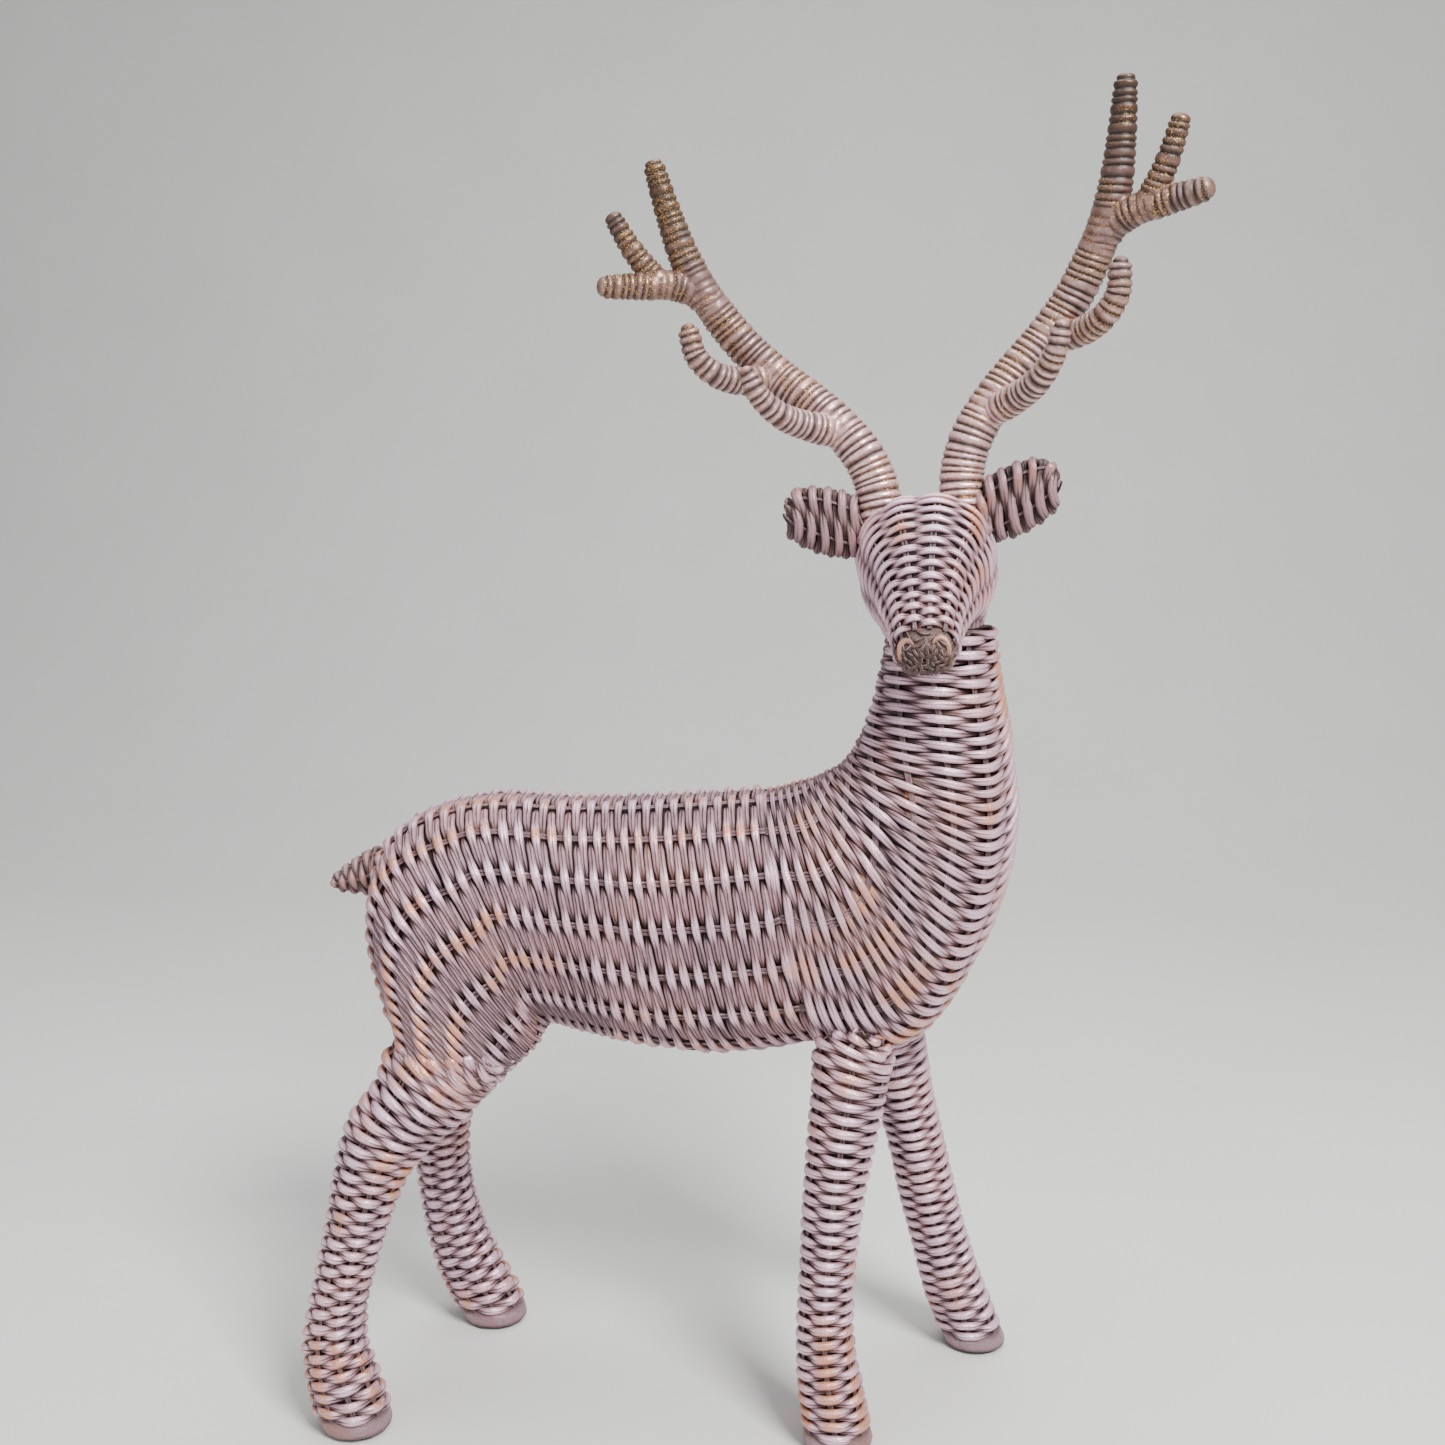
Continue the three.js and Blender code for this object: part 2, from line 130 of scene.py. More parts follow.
def smooth_path(keys, count):
    """A Catmull-Rom curve through the keys, sampled at count even steps of its parameter."""
    keys = np.array(keys, float)
    padded = np.vstack([2 * keys[0] - keys[1], keys, 2 * keys[-1] - keys[-2]])
    where = np.linspace(0, len(keys) - 1, count)
    first = np.minimum(where.astype(int), len(keys) - 2)
    t = (where - first)[:, None]
    a, b, c, d = (padded[first + i] for i in range(4))
    return 0.5 * (2 * b + (c - a) * t + (2 * a - 5 * b + 4 * c - d) * t ** 2
                  + (3 * b - a - 3 * c + d) * t ** 3)


def lengths(points):
    """How far along an open path each of its points lies."""
    return np.concatenate([[0], np.cumsum(np.linalg.norm(np.diff(points, axis=0), axis=1))])


def at_lengths(points, along, target):
    """The points of a path at the target lengths."""
    return np.stack([np.interp(target, along, points[:, i]) for i in range(3)], 1)


def even_steps(points, step):
    """The same open path with points at even steps of length."""
    along = lengths(points)
    count = max(2, int(round(along[-1] / step)) + 1)
    return at_lengths(points, along, np.linspace(0, along[-1], count))


def even_ring(ring, count):
    """A closed ring resampled at even steps of its length, from its first point."""
    closed = np.vstack([ring, ring[:1]])
    along = lengths(closed)
    return at_lengths(closed, along, np.arange(count) / count * along[-1])


def grid_faces(rows, columns, wrap=False):
    """The quads between rings of points; with wrap the last ring joins the first."""
    r, c = np.meshgrid(np.arange(rows if wrap else rows - 1), np.arange(columns), indexing="ij")
    after, side = (r + 1) % rows, (c + 1) % columns
    return np.stack([r * columns + c, r * columns + side, after * columns + side,
                     after * columns + c], -1).reshape(-1, 4)


def tree_of(*nodes):
    """A ray-casting tree over CAD nodes, in the row frame."""
    points = []
    faces = []
    for node in nodes:
        mesh = frame["nodes"][node].data
        start = len(points)
        points += [v.co.copy() for v in mesh.vertices]
        faces += [[start + i for i in face.vertices] for face in mesh.polygons]
    return BVHTree.FromPolygons(points, faces)


def ring_of_hits(tree, centre, right, up, columns, reach=0.09):
    """Where rays aimed at centre from outside first meet the tree. The ring starts at up and
    turns towards right. A ray that misses takes its neighbour's distance."""
    distances = np.full(columns, np.nan)
    angles = np.arange(columns) * 2 * math.pi / columns
    directions = np.outer(np.cos(angles), up) + np.outer(np.sin(angles), right)
    for k, out in enumerate(directions):
        origin = Vector(centre + out * reach)
        hit = tree.ray_cast(origin, Vector(-out), reach)
        if hit[0] is not None:
            distances[k] = reach - hit[3]
    found = ~np.isnan(distances)
    if not found.any():
        return None
    index = np.arange(columns)
    distances = np.interp(index, index[found], distances[found], period=columns)
    return centre + directions * distances[:, None]


# ---- the measured surface of a casting ----
class Skin:
    """A casting's outer surface as a grid of points: rows across it, columns round it."""

    COLUMNS = 96

    def __init__(self, tree, centres, ups, rights, smoothing=2):
        rings = []
        for centre, up, right in zip(centres, ups, rights):
            ring = ring_of_hits(tree, centre, right, up, self.COLUMNS)
            if ring is not None:
                rings.append(even_ring(ring, self.COLUMNS))
        points = np.array(rings)
        for _ in range(smoothing):
            points = (np.roll(points, 1, 1) + 2 * points + np.roll(points, -1, 1)) / 4
            points[1:-1] = (points[:-2] + 2 * points[1:-1] + points[2:]) / 4
        self.points = points
        self.rows = len(points)
        self.find_normals()

    def find_normals(self):
        round_way = np.roll(self.points, -1, 1) - np.roll(self.points, 1, 1)
        long_way = np.gradient(self.points, axis=0)
        normals = unit(np.cross(round_way, long_way))
        outward = self.points - self.points.mean(1, keepdims=True)
        self.normals = normals if (normals * outward).sum() > 0 else -normals

    def space_evenly(self, first, last):
        """Spaces rows first to last evenly along every column, so that they share out a bend
        instead of fanning from one point."""
        part = self.points[first:last + 1]
        for c in range(self.COLUMNS):
            along = lengths(part[:, c])
            part[:, c] = at_lengths(part[:, c], along, np.linspace(0, along[-1], len(part)))
        self.find_normals()

    def sample(self, row, turn):
        """Points and normals at fractional rows and at turns from 0 to 1 round the casting."""
        row = np.clip(row, 0, self.rows - 1.001)
        column = (turn % 1.0) * self.COLUMNS
        r0 = row.astype(int)
        c0 = column.astype(int) % self.COLUMNS
        c1 = (c0 + 1) % self.COLUMNS
        fr = (row - r0)[..., None]
        fc = (column - np.floor(column))[..., None]
        found = []
        for grid in (self.points, self.normals):
            near = grid[r0, c0] * (1 - fc) + grid[r0, c1] * fc
            far = grid[r0 + 1, c0] * (1 - fc) + grid[r0 + 1, c1] * fc
            found.append(near * (1 - fr) + far * fr)
        return found[0], unit(found[1])

    def rows_at_pitch(self, pitch, turn, first=0.0, last=None):
        """Fractional rows a pitch apart along one column, from row first to row last."""
        last = self.rows - 1 if last is None else last
        where = np.linspace(first, last, 400)
        line = self.sample(where, np.full(400, turn))[0]
        along = lengths(line)
        count = max(2, int(round(along[-1] / pitch)))
        return np.interp((np.arange(count) + 0.5) / count * along[-1], along, where)

    def sink(self, tree, near, depth):
        """Pulls in the points that lie on another casting's tree, so that a strand there runs
        into that casting instead of round its surface."""
        touching = [tree.find_nearest(Vector(point), near)[0] is not None
                    for point in self.points.reshape(-1, 3)]
        mask = np.array(touching, float).reshape(self.rows, self.COLUMNS)
        for _ in range(2):
            mask = (np.roll(mask, 1, 1) + 2 * mask + np.roll(mask, -1, 1)) / 4
        self.points = self.points - self.normals * (mask * depth)[..., None]

    def draw_in(self, rows, share):
        """Narrows the last rows, so that the casting's end is buried in the next one."""
        ease = smooth_step((np.arange(self.rows) - self.rows + 1 + rows) / rows)[:, None, None]
        middles = self.points.mean(1, keepdims=True)
        self.points = middles + (self.points - middles) * (1 - share * ease)


# ---- mesh building ----
class Builder:
    """Collects points, faces and the numbers that the paint reads, for one mesh."""

    def __init__(self):
        self.points = []
        self.faces = []
        self.heights = []
        self.crests = []
        self.canes = []
        self.count = 0

    def add(self, points, faces, height, crest, cane):
        self.points.append(points.reshape(-1, 3))
        self.faces.append(faces + self.count)
        self.heights.append(height.ravel())
        self.crests.append(crest.ravel())
        self.canes.append(cane.reshape(-1, 3))
        self.count += len(self.points[-1])

    def tube(self, path, normal, width, thick, lift, crest, low, high, sides, closed, seed):
        """A strand along path: an oval width wide and thick high, raised by lift on the normal.
        Height is painted from 0 at low to 1 at high above the path; the paint turns it into
        painted shade low down and a painted highlight high up."""
        n = len(path)
        if closed:
            along_way = np.roll(path, -1, 0) - np.roll(path, 1, 0)
            steps = np.linalg.norm(np.roll(path, -1, 0) - path, axis=1)
        else:
            along_way = np.gradient(path, axis=0)
            steps = np.concatenate([np.linalg.norm(np.diff(path, axis=0), axis=1), [0]])
        along_way = unit(along_way)
        across_way = unit(np.cross(normal, along_way))
        angles = (np.arange(sides) + 0.5) * 2 * math.pi / sides
        across = np.cos(angles)[None, :] * width[:, None] / 2
        rise = lift[:, None] + np.sin(angles)[None, :] * thick[:, None] / 2
        ring = (path[:, None] + across_way[:, None] * across[..., None]
                + normal[:, None] * rise[..., None])
        distance = np.concatenate([[0], np.cumsum(steps)[:-1]])
        height = np.clip((rise - low) / (high - low), 0, 1)
        cane = np.stack([np.repeat(distance[:, None], sides, 1) / MM, across / MM,
                         np.full((n, sides), seed * 50.0)], -1)
        crest = np.repeat(crest[:, None], sides, 1)
        self.add(ring, grid_faces(n, sides, closed), height, crest, cane)
        if not closed:
            self.cap(n, sides, True)

    def cap(self, n, sides, outward):
        """Closes both ends of the open tube of n rings that was added last, with strips of quads."""
        start = self.count - n * sides
        k = np.arange(sides // 2 - 1)
        for base, last in ((start, False), (start + (n - 1) * sides, True)):
            strip = base + np.stack([k, k + 1, sides - 2 - k, sides - 1 - k], -1)
            self.faces.append(strip if last == outward else strip[:, ::-1])

    def shell(self, rings, height, outwards, row=0):
        """A closed body over rings of points, turned so that it faces outwards at ring row."""
        count, columns = rings.shape[:2]
        start = rings[row, 0]
        facing = np.cross(rings[row, 1] - start, rings[row + 1, 0] - start)
        right_way = facing.dot(outwards) > 0
        faces = grid_faces(count, columns)
        self.add(rings, faces if right_way else faces[:, ::-1], height, height, rings / MM)
        self.cap(count, columns, not right_way)

    def make(self, name, material):
        """The mesh object, smooth shaded, with its paint attributes."""
        points = np.concatenate(self.points)
        faces = np.concatenate(self.faces)
        mesh = bpy.data.meshes.new(name)
        mesh.from_pydata(points.tolist(), [], faces.tolist())
        put_attribute(mesh, "height", "FLOAT", np.concatenate(self.heights))
        put_attribute(mesh, "crest", "FLOAT", np.concatenate(self.crests))
        put_attribute(mesh, "cane", "FLOAT_VECTOR", np.concatenate(self.canes))
        mesh.materials.append(material)
        mesh.update()
        return place_object(name, mesh)


def place_object(name, data):
    """A new object in the scene; a mesh is shaded smooth."""
    if isinstance(data, bpy.types.Mesh):
        data.polygons.foreach_set("use_smooth", np.ones(len(data.polygons), bool))
    made = bpy.data.objects.new(name, data)
    bpy.context.scene.collection.objects.link(made)
    return made


def put_attribute(mesh, name, kind, values):
    """Writes one number or vector for each point of the mesh."""
    attribute = mesh.attributes.new(name, kind, "POINT")
    field = "vector" if kind == "FLOAT_VECTOR" else "value"
    attribute.data.foreach_set(field, np.asarray(values, np.float32).ravel())


def wobble(turns, size):
    """A gentle random wave round a closed strand."""
    total = np.zeros_like(turns)
    for waves in (1, 2, 3, 5, 9, 14):
        phase = 2 * math.pi * (waves * turns + rng.random())
        total += rng.normal(0, 1) * np.sin(phase) / waves ** 0.7
    return size * total


def weave_strands(builder, skin, weave, rows, bow=None, points_round=144, crowd=False,
                  stakes_at=None):
    """One closed strand at each row, alternately over and under the stakes. Where the rows fan
    together, two strands in four dip into the core and the other two share out their room.
    With stakes_at the number of stakes changes from row to row, and they part at turn 0."""
    turns = np.arange(points_round) / points_round
    gaps = np.gradient(rows)
    for i, (row, gap) in enumerate(zip(rows, gaps)):
        shift = 0.0 if bow is None else bow(turns, row)
        line = row + shift + wobble(turns, 0.08) * gap
        before = skin.sample(line - gap / 2, turns)[0]
        after = skin.sample(line + gap / 2, turns)[0]
        local = np.clip(np.linalg.norm(after - before, axis=1) / weave.pitch, SMALL, LARGE)
        crowded = np.clip((CROWDED - local) / 0.15, 0, 1) if crowd else np.zeros(points_round)
        if i % 4 == 1:
            line = line + gap * crowded
        path, normal = skin.sample(line, turns)
        if stakes_at is None:
            wave = np.sin(math.pi * (weave.stakes * turns + i))
        else:
            wave = np.sin(math.pi * (stakes_at(line) * (turns - 0.5) + weave.stakes / 2 + i))
            wave = wave * smooth_step(np.minimum(turns, 1 - turns) / 0.02)
        level = np.sign(wave) * np.abs(wave) ** weave.lens
        growth = 1 + CROWD_GROWTH * crowded
        size = np.clip(local * growth, 0.55, 1.15) * (1 + wobble(turns, 0.04))
        rise = weave.swing * np.where(level > 0, level, UNDER_DIP * level)
        lift = rise * np.clip(size, 0.5, 1.1) * (1 + 0.12 * rng.normal())
        width = weave.pitch * local * (weave.fill + weave.spread * level)
        width = width * growth * (1 + 0.05 * rng.normal())
        thick = weave.thick * size * (1 + 0.12 * level)
        if i % 4 > 1:
            lift = lift - crowded * SUNK
        reach = weave.swing + weave.thick / 2
        builder.tube(path, normal, width, thick, lift, np.clip(level, 0, 1), -0.75 * reach, reach,
                     STRAND_SIDES, True, rng.random())


def weave_stakes(builder, skin, weave, first, last, stakes_at):
    """The stakes: bundles of thin rods that run the casting's length under the strands."""
    rows = np.linspace(first, last, max(4, int((last - first) * 1.2)))
    girth = np.linalg.norm(np.roll(skin.points, -1, 1) - skin.points, axis=2).sum(1).mean()
    for j in range(weave.stakes):
        for k in range(weave.rods):
            offset = (k - (weave.rods - 1) / 2) * 2.05 * weave.rod / girth
            turn = np.full(len(rows), (j + 0.5) / weave.stakes)
            if stakes_at is not None:
                turn = 0.5 + (j + 0.5 - weave.stakes / 2) / stakes_at(rows)
            inside = (turn > 0.01) & (turn < 0.99)
            if inside.sum() < 4:
                continue
            path, normal = skin.sample(rows[inside], turn[inside] + offset)
            size = np.full(len(path), 2 * weave.rod)
            none = np.zeros(len(path))
            builder.tube(path, normal, size, size, none, none, -1.5 * weave.rod,
                         1.2 * weave.rod, ROD_SIDES, False, rng.random())


def weave_core(builder, skin, first, last):
    """The dark core under the strands: the surface moved inwards, closed at both ends. Its paint
    is dark base paint with painted shade, as it lies in the gaps between strands.
    """
    points = (skin.points - skin.normals * CORE_DEPTH)[first:last + 1]
    builder.shell(points, np.zeros(points.shape[:2]), skin.normals[0, 0])


def ride(piece, body, slot, *nodes):
    """The piece moves with a body and stands for CAD nodes. The slot is not used."""
    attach(piece, body)
    if nodes:
        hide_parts(*nodes)


# ---- where the rows of each casting lie ----
VIEWER_SIDE = np.array([0.0, -1.0, 0.0])

# From the lowest corner of the torso casting's box: forward and up in mm to the middle of a
# row, and how many degrees the row's plane leans back from upright. They run from the thighs,
# over the haunch and along the barrel to the seam, and on up the neck to the jaw.
HAUNCH_ROWS = [(22, 1, 50), (26, 13, 49), (31, 27, 45), (38, 40, 36), (50, 50, 25)]
BARREL_ROWS = [(66, 54, 16), (90, 52, 12), (125, 50, 12), (164, 54, 12)]
NECK_ROWS = [(181, 57, 22), (195, 66, 34), (208, 78, 48), (217, 94, 64), (221, 112, 78),
             (222, 132, 86), (221, 152, 89), (220, 166, 90)]
ROWS_PER_KEY = 13


def side_rows(keys, count):
    """Row centres, ups and rights for planes square to the side view, through the keys."""
    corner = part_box("torso_casting")[0]
    path = smooth_path(keys, count)
    lean = np.radians(path[:, 2])
    centres = np.stack([corner.x + path[:, 0] * MM, np.zeros(count),
                        corner.z + path[:, 1] * MM], 1)
    ups = np.stack([-np.sin(lean), np.zeros(count), np.cos(lean)], 1)
    rights = np.repeat(VIEWER_SIDE[None], count, 0)
    return centres, ups, rights


def axis_rows(start, end, up, step):
    """Rows square to a straight axis."""
    start, end, up = (np.array(v, float) for v in (start, end, up))
    length = np.linalg.norm(end - start)
    heading = (end - start) / length
    count = max(4, int(length / step))
    centres = start + np.outer(np.linspace(0, length, count), heading)
    right = unit(np.cross(heading, up))
    level = unit(np.cross(right, heading))
    return centres, np.repeat(level[None], count, 0), np.repeat(right[None], count, 0)


def leg_rows(name, top):
    """Rows square to a leg: a walk up the leg from its foot pad that keeps to its middle."""
    tree = tree_of(f"leg_{name}")
    low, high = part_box(f"foot_pad_{name}")
    centre = np.array((low + high) / 2)
    centre[2] = high.z + 0.6 * MM
    heading = np.array([0.0, 0.0, 1.0])
    forward = np.array([1.0, 0.0, 0.0])
    rows = []
    while centre[2] < top:
        up = unit(forward - heading * forward.dot(heading))
        right = np.cross(heading, up)
        for _ in range(2):
            centre = even_ring(ring_of_hits(tree, centre, right, up, 24, 0.04), 24).mean(0)
        rows.append((centre, up, right))
        if len(rows) > 5:
            heading = unit(0.8 * heading + 0.2 * unit(centre - rows[-5][0]))
        centre = centre + heading * ROW_STEP
    return (np.array(part) for part in zip(*rows))


# ---- the head's own axes ----
PIN_SEAT = (-6.0, 37.0)     # of the pins in the head: forward and up, mm


def middle(node):
    low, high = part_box(node)
    return np.array((low + high) / 2)


def head_axes():
    """The head's origin and its forward, left and up directions, from the antler pins."""
    left_pin, right_pin = middle("antler_pin_left"), middle("antler_pin_right")
    up = unit(np.array(frame["joints"][0]["axis"], float))
    left = unit(left_pin - right_pin)
    forward = np.cross(left, up)
    seat = (left_pin + right_pin) / 2
    origin = seat - PIN_SEAT[0] * MM * forward - PIN_SEAT[1] * MM * up
    return origin, forward, left, up


HEAD, FORWARD, LEFT, UP = head_axes()


def in_head(forward, out, up, side=1):
    """A point of the head, in mm forward, outwards to one side, and up."""
    return HEAD + MM * (forward * FORWARD + side * out * LEFT + up * UP)


# ---- castings ----
def woven_casting(name, node, skin, weave, rows, kind="body", first=0, last=None,
                  stakes_end=None, stakes_at=None, **options):
    """The strands and, in a second mesh, the stakes and core of one casting of the statue,
    between rows first and last of the skin."""
    last = skin.rows - 1 if last is None else last
    strands = Builder()
    weave_strands(strands, skin, weave, rows, stakes_at=stakes_at, **options)
    ride(strands.make(f"{name}_strands", paints[kind]), "statue", f"cast_{kind}", node)
    inside = Builder()
    weave_core(inside, skin, first, last)
    weave_stakes(inside, skin, weave, first, stakes_end or last, stakes_at)
    ride(inside.make(f"{name}_stakes", paints["core"]), "statue", f"cast_{kind}")


BOW_HEIGHT = 8.0              # rows that a strand rises at the front of the chest
BOW_WIDTH = 0.085             # share of the way round


def make_trunk():
    """The torso and neck castings: one run of rows, shared out at the shoulder seam."""
    keys = HAUNCH_ROWS + BARREL_ROWS + NECK_ROWS
    count = (len(keys) - 1) * ROWS_PER_KEY + 1
    seam = (len(HAUNCH_ROWS) + len(BARREL_ROWS) - 1) * ROWS_PER_KEY
    tree = tree_of("torso_casting", "neck_casting", "leg_hind_left", "leg_hind_right")
    skin = Skin(tree, *side_rows(keys, count), smoothing=3)
    skin.space_evenly(0, (len(HAUNCH_ROWS) + 1) * ROWS_PER_KEY)
    skin.space_evenly(seam, seam + 5 * ROWS_PER_KEY)
    torso_rows = skin.rows_at_pitch(TORSO_WEAVE.pitch, 0.17, 3.0, seam)
    neck_rows = skin.rows_at_pitch(NECK_WEAVE.pitch, 0.42, seam, skin.rows - 1)

    def lift_at_chest(turns, row):
        """Rows turn level where they cross the front of the chest."""
        start = smooth_step((row - seam + 26) / 30)
        stop = smooth_step((skin.rows - 1 - row) / 40)
        return BOW_HEIGHT * start * stop * np.exp(-((turns - 0.5) / BOW_WIDTH) ** 2)

    girth = np.linalg.norm(np.roll(skin.points, -1, 1) - skin.points, axis=2).sum(1)
    fewer = TORSO_WEAVE.stakes * np.minimum(1, girth / girth[seam]) ** 0.8
    fewer[:seam] = TORSO_WEAVE.stakes

    def stakes_at(row):
        """Up the neck the stakes keep their spacing, so there are fewer of them."""
        return np.interp(row, np.arange(skin.rows), fewer)

    for name, weave, rows, first, last in (("torso", TORSO_WEAVE, torso_rows, 0, seam),
                                           ("neck", NECK_WEAVE, neck_rows, seam, skin.rows - 1)):
        woven_casting(name, f"{name}_casting", skin, weave, rows, first=first, last=last,
                      stakes_at=stakes_at, bow=lift_at_chest, points_round=136, crowd=True)


# Height of each leg's highest row, in mm.
LEG_TOPS = {"front_right": 168, "front_left": 168, "hind_right": 154, "hind_left": 154}
TOP_TILT = {"front": 24, "hind": 8}      # degrees that the highest rows dip towards the front
# Share of the hoof's height, mm outwards from the casting, and brightness of the paint:
# high where the rim stands proud, as dry-brush with a painted highlight, and low where it
# tucks in, as dark paint with painted shade.
HOOF_PROFILE = [(0.0, -3.0, 0.1), (0.0, 0.2, 0.35), (0.06, 0.8, 0.6), (0.3, 1.1, 0.85),
                (0.7, 1.0, 0.9), (0.95, 0.5, 0.6), (1.1, -0.6, 0.3), (1.1, -3.0, 0.0)]


def make_leg(name):
    hind = name.startswith("hind")
    weave = THIGH_WEAVE if hind else LEG_WEAVE
    centres, ups, rights = leg_rows(name, LEG_TOPS[name] * MM)
    near_top = smooth_step((centres[:, 2] / MM - LEG_TOPS[name] + 32) / 32)
    tilt = np.radians(TOP_TILT[name.split("_")[0]] * near_top)[:, None]
    ups = np.cos(tilt) * ups - np.sin(tilt) * np.cross(ups, rights)
    skin = Skin(tree_of(f"leg_{name}"), centres, ups, rights)
    skin.sink(tree_of("torso_casting", "neck_casting"), 0.6 * MM, 1.0 * MM)
    skin.draw_in(5, 0.45)
    hoof_row = HOOF_HEIGHT / ROW_STEP
    rows = skin.rows_at_pitch(weave.pitch, 0.75, hoof_row)
    woven_casting(f"leg_{name}", f"leg_{name}", skin, weave, rows, points_round=72)
    make_hoof(name, skin, hoof_row)


def make_hoof(name, skin, hoof_row):
    """The smooth band at the foot: a rounded rim that stands a little proud of the weave."""
    turns = np.arange(64) / 64
    rings = []
    heights = []
    for part, out, height in HOOF_PROFILE:
        points, normals = skin.sample(np.full(len(turns), part * hoof_row), turns)
        rings.append(points + normals * (out * MM + wobble(turns, 0.08 * MM))[:, None])
        # The brightness gives the rim a painted highlight where it stands proud and painted shade
        # where it tucks in.
        heights.append(np.full(len(turns), height))
    builder = Builder()
    builder.shell(np.array(rings), np.array(heights), skin.normals[1, 0], 3)
    ride(builder.make(f"hoof_{name}", paints["hoof"]), "statue", "cast_body")


# Rows across the head: mm forward and up to the middle of a row, and the lean of its plane.
HEAD_ROWS = [(-21.5, 19, -10), (-12, 16.5, -11), (-1, 14, -13), (9.5, 10, -15), (20.5, 4.5, -17),
             (30, -2, -21), (39, -8.5, -23), (45.5, -12, -25)]
BACK_OF_HEAD = (-24, 0, 14)   # mm forward, out and up: the rearmost point
BACK_ROWS = 12                # that close the weave behind the first row
NOSE_PAD_START = 0.90         # share of the rows where the weave gives way to the nose pad
# Shares of the way to the muzzle, and the width there as a share of the casting's.
HEAD_WIDTHS = ([0, 0.25, 0.5, 0.8, 1], [1.0, 1.0, 0.88, 0.88, 0.95])
NOSE_STRANDS = 60
GOLDEN_ANGLE = 2.39996        # between one short strand and the next, to spread them evenly
# Shares of the pad's half width, and mm that the ring there stands proud.
NOSE_DOME = [(0.06, 0.3), (0.35, 0.3), (0.65, 0.2), (0.86, -0.1), (0.97, -1.5), (0.97, -4.0)]


def make_head():
    count = 44
    path = smooth_path(HEAD_ROWS, count)
    lean = np.radians(path[:, 2])[:, None]
    centres = HEAD + MM * (path[:, :1] * FORWARD + path[:, 1:2] * UP)
    ups = np.cos(lean) * UP - np.sin(lean) * FORWARD
    rights = np.repeat(LEFT[None], count, 0)
    skin = Skin(tree_of("head_casting"), centres, ups, rights)
    shape_head(skin)
    last = (skin.rows - 1) * NOSE_PAD_START
    make_nose(skin, last)
    close_back(skin)
    last = last + BACK_ROWS
    rows = skin.rows_at_pitch(HEAD_WEAVE.pitch, 0.0, 0.3, last)
    woven_casting("head", "head_casting", skin, HEAD_WEAVE, rows, stakes_end=last + 0.5,
                  points_round=112, crowd=True)


def shape_head(skin):
    """Draws the cheeks in towards the muzzle and squares off the edges of the forehead."""
    offset = skin.points - skin.points.mean(1, keepdims=True)
    across = offset @ LEFT
    over = offset @ UP
    angle = np.arctan2(np.abs(across), over)
    square = np.where(over > 0, np.sin(2 * angle) ** 2, 0)
    widen = np.interp(np.linspace(0, 1, skin.rows), *HEAD_WIDTHS)[:, None]
    narrow = 1 - 0.12 * smooth_step(-over / (14 * MM))
    skin.points = skin.points + (across * (widen * narrow + 0.07 * square - 1))[..., None] * LEFT
    skin.points = skin.points + (over * 0.05 * square)[..., None] * UP
    skin.find_normals()


def close_back(skin):
    """Adds rows behind the first one that close in on the head's rearmost point."""
    tree = tree_of("head_casting")
    pole = in_head(*BACK_OF_HEAD)
    rows = []
    for share in np.linspace(0.12, 1.0, BACK_ROWS, endpoint=False):
        row = pole + (skin.points[0] - pole) * share
        for c, point in enumerate(row):
            hit = tree.ray_cast(Vector(point - 30 * MM * FORWARD), Vector(FORWARD))
            if hit[0] is not None:
                row[c] = hit[0]
        rows.append(row)
    skin.points = np.concatenate([np.array(rows), skin.points])
    skin.rows = len(skin.points)
    skin.find_normals()


def make_nose(skin, start):
    """The nose pad: a low dome covered with short strands that lie every way."""
    tree = tree_of("head_casting")
    builder = Builder()
    base = skin.sample(np.full(48, start), np.arange(48) / 48)[0]
    centre = base.mean(0)
    facing = unit(skin.points[-1].mean(0) - centre)
    across = unit(np.cross(UP, facing))
    over = np.cross(facing, across)
    half_width = np.abs((base - centre) @ across).max()
    half_height = np.abs((base - centre) @ over).max()

    def on_pad(u, v, proud):
        """The point of the nose at shares u and v of the pad's half width and half height."""
        aim = centre + across * u * half_width + over * v * half_height
        hit = tree.ray_cast(Vector(aim + facing * 0.05), Vector(-facing), 0.07)[0]
        return (np.array(hit) if hit is not None else aim) + facing * proud

    count = 24
    angles = np.arange(count) * 2 * math.pi / count
    dome = np.array([[on_pad(r * math.cos(a), r * math.sin(a), out * MM) for a in angles]
                     for r, out in NOSE_DOME])
    # The dome takes a low height, so its paint is dark base paint with painted shade under the short
    # strands.
    low = np.full((len(dome), count), 0.3)
    builder.add(dome, grid_faces(len(dome), count)[:, [0, 3, 2, 1]], low, low * 0, dome / MM)
    builder.cap(len(dome), count, True)
    for k in range(NOSE_STRANDS):
        radius = 0.92 * math.sqrt((k + 0.5) / NOSE_STRANDS)
        angle = k * GOLDEN_ANGLE
        u, v = radius * math.cos(angle), radius * math.sin(angle)
        spin = rng.random() * math.pi
        reach = (1.6 + 1.4 * rng.random()) * MM
        line = []
        for step in np.linspace(-1, 1, 7):
            du = u + step * reach * math.cos(spin) / half_width
            dv = v + step * reach * math.sin(spin) / half_height
            line.append(on_pad(du, dv, (0.75 - 0.5 * abs(step)) * MM))
        normal = np.repeat(facing[None], 7, 0)
        size = np.array([0.5, 0.95, 1.15, 1.2, 1.15, 0.95, 0.5]) * MM
        flat = np.zeros(7)
        builder.tube(np.array(line), normal, size, size, flat, flat, -1.0 * MM, 1.0 * MM, 6,
                     False, rng.random())
    ride(builder.make("nose_pad", paints["nose"]), "statue", "cast_dark")
    make_nose_corners(on_pad, facing)


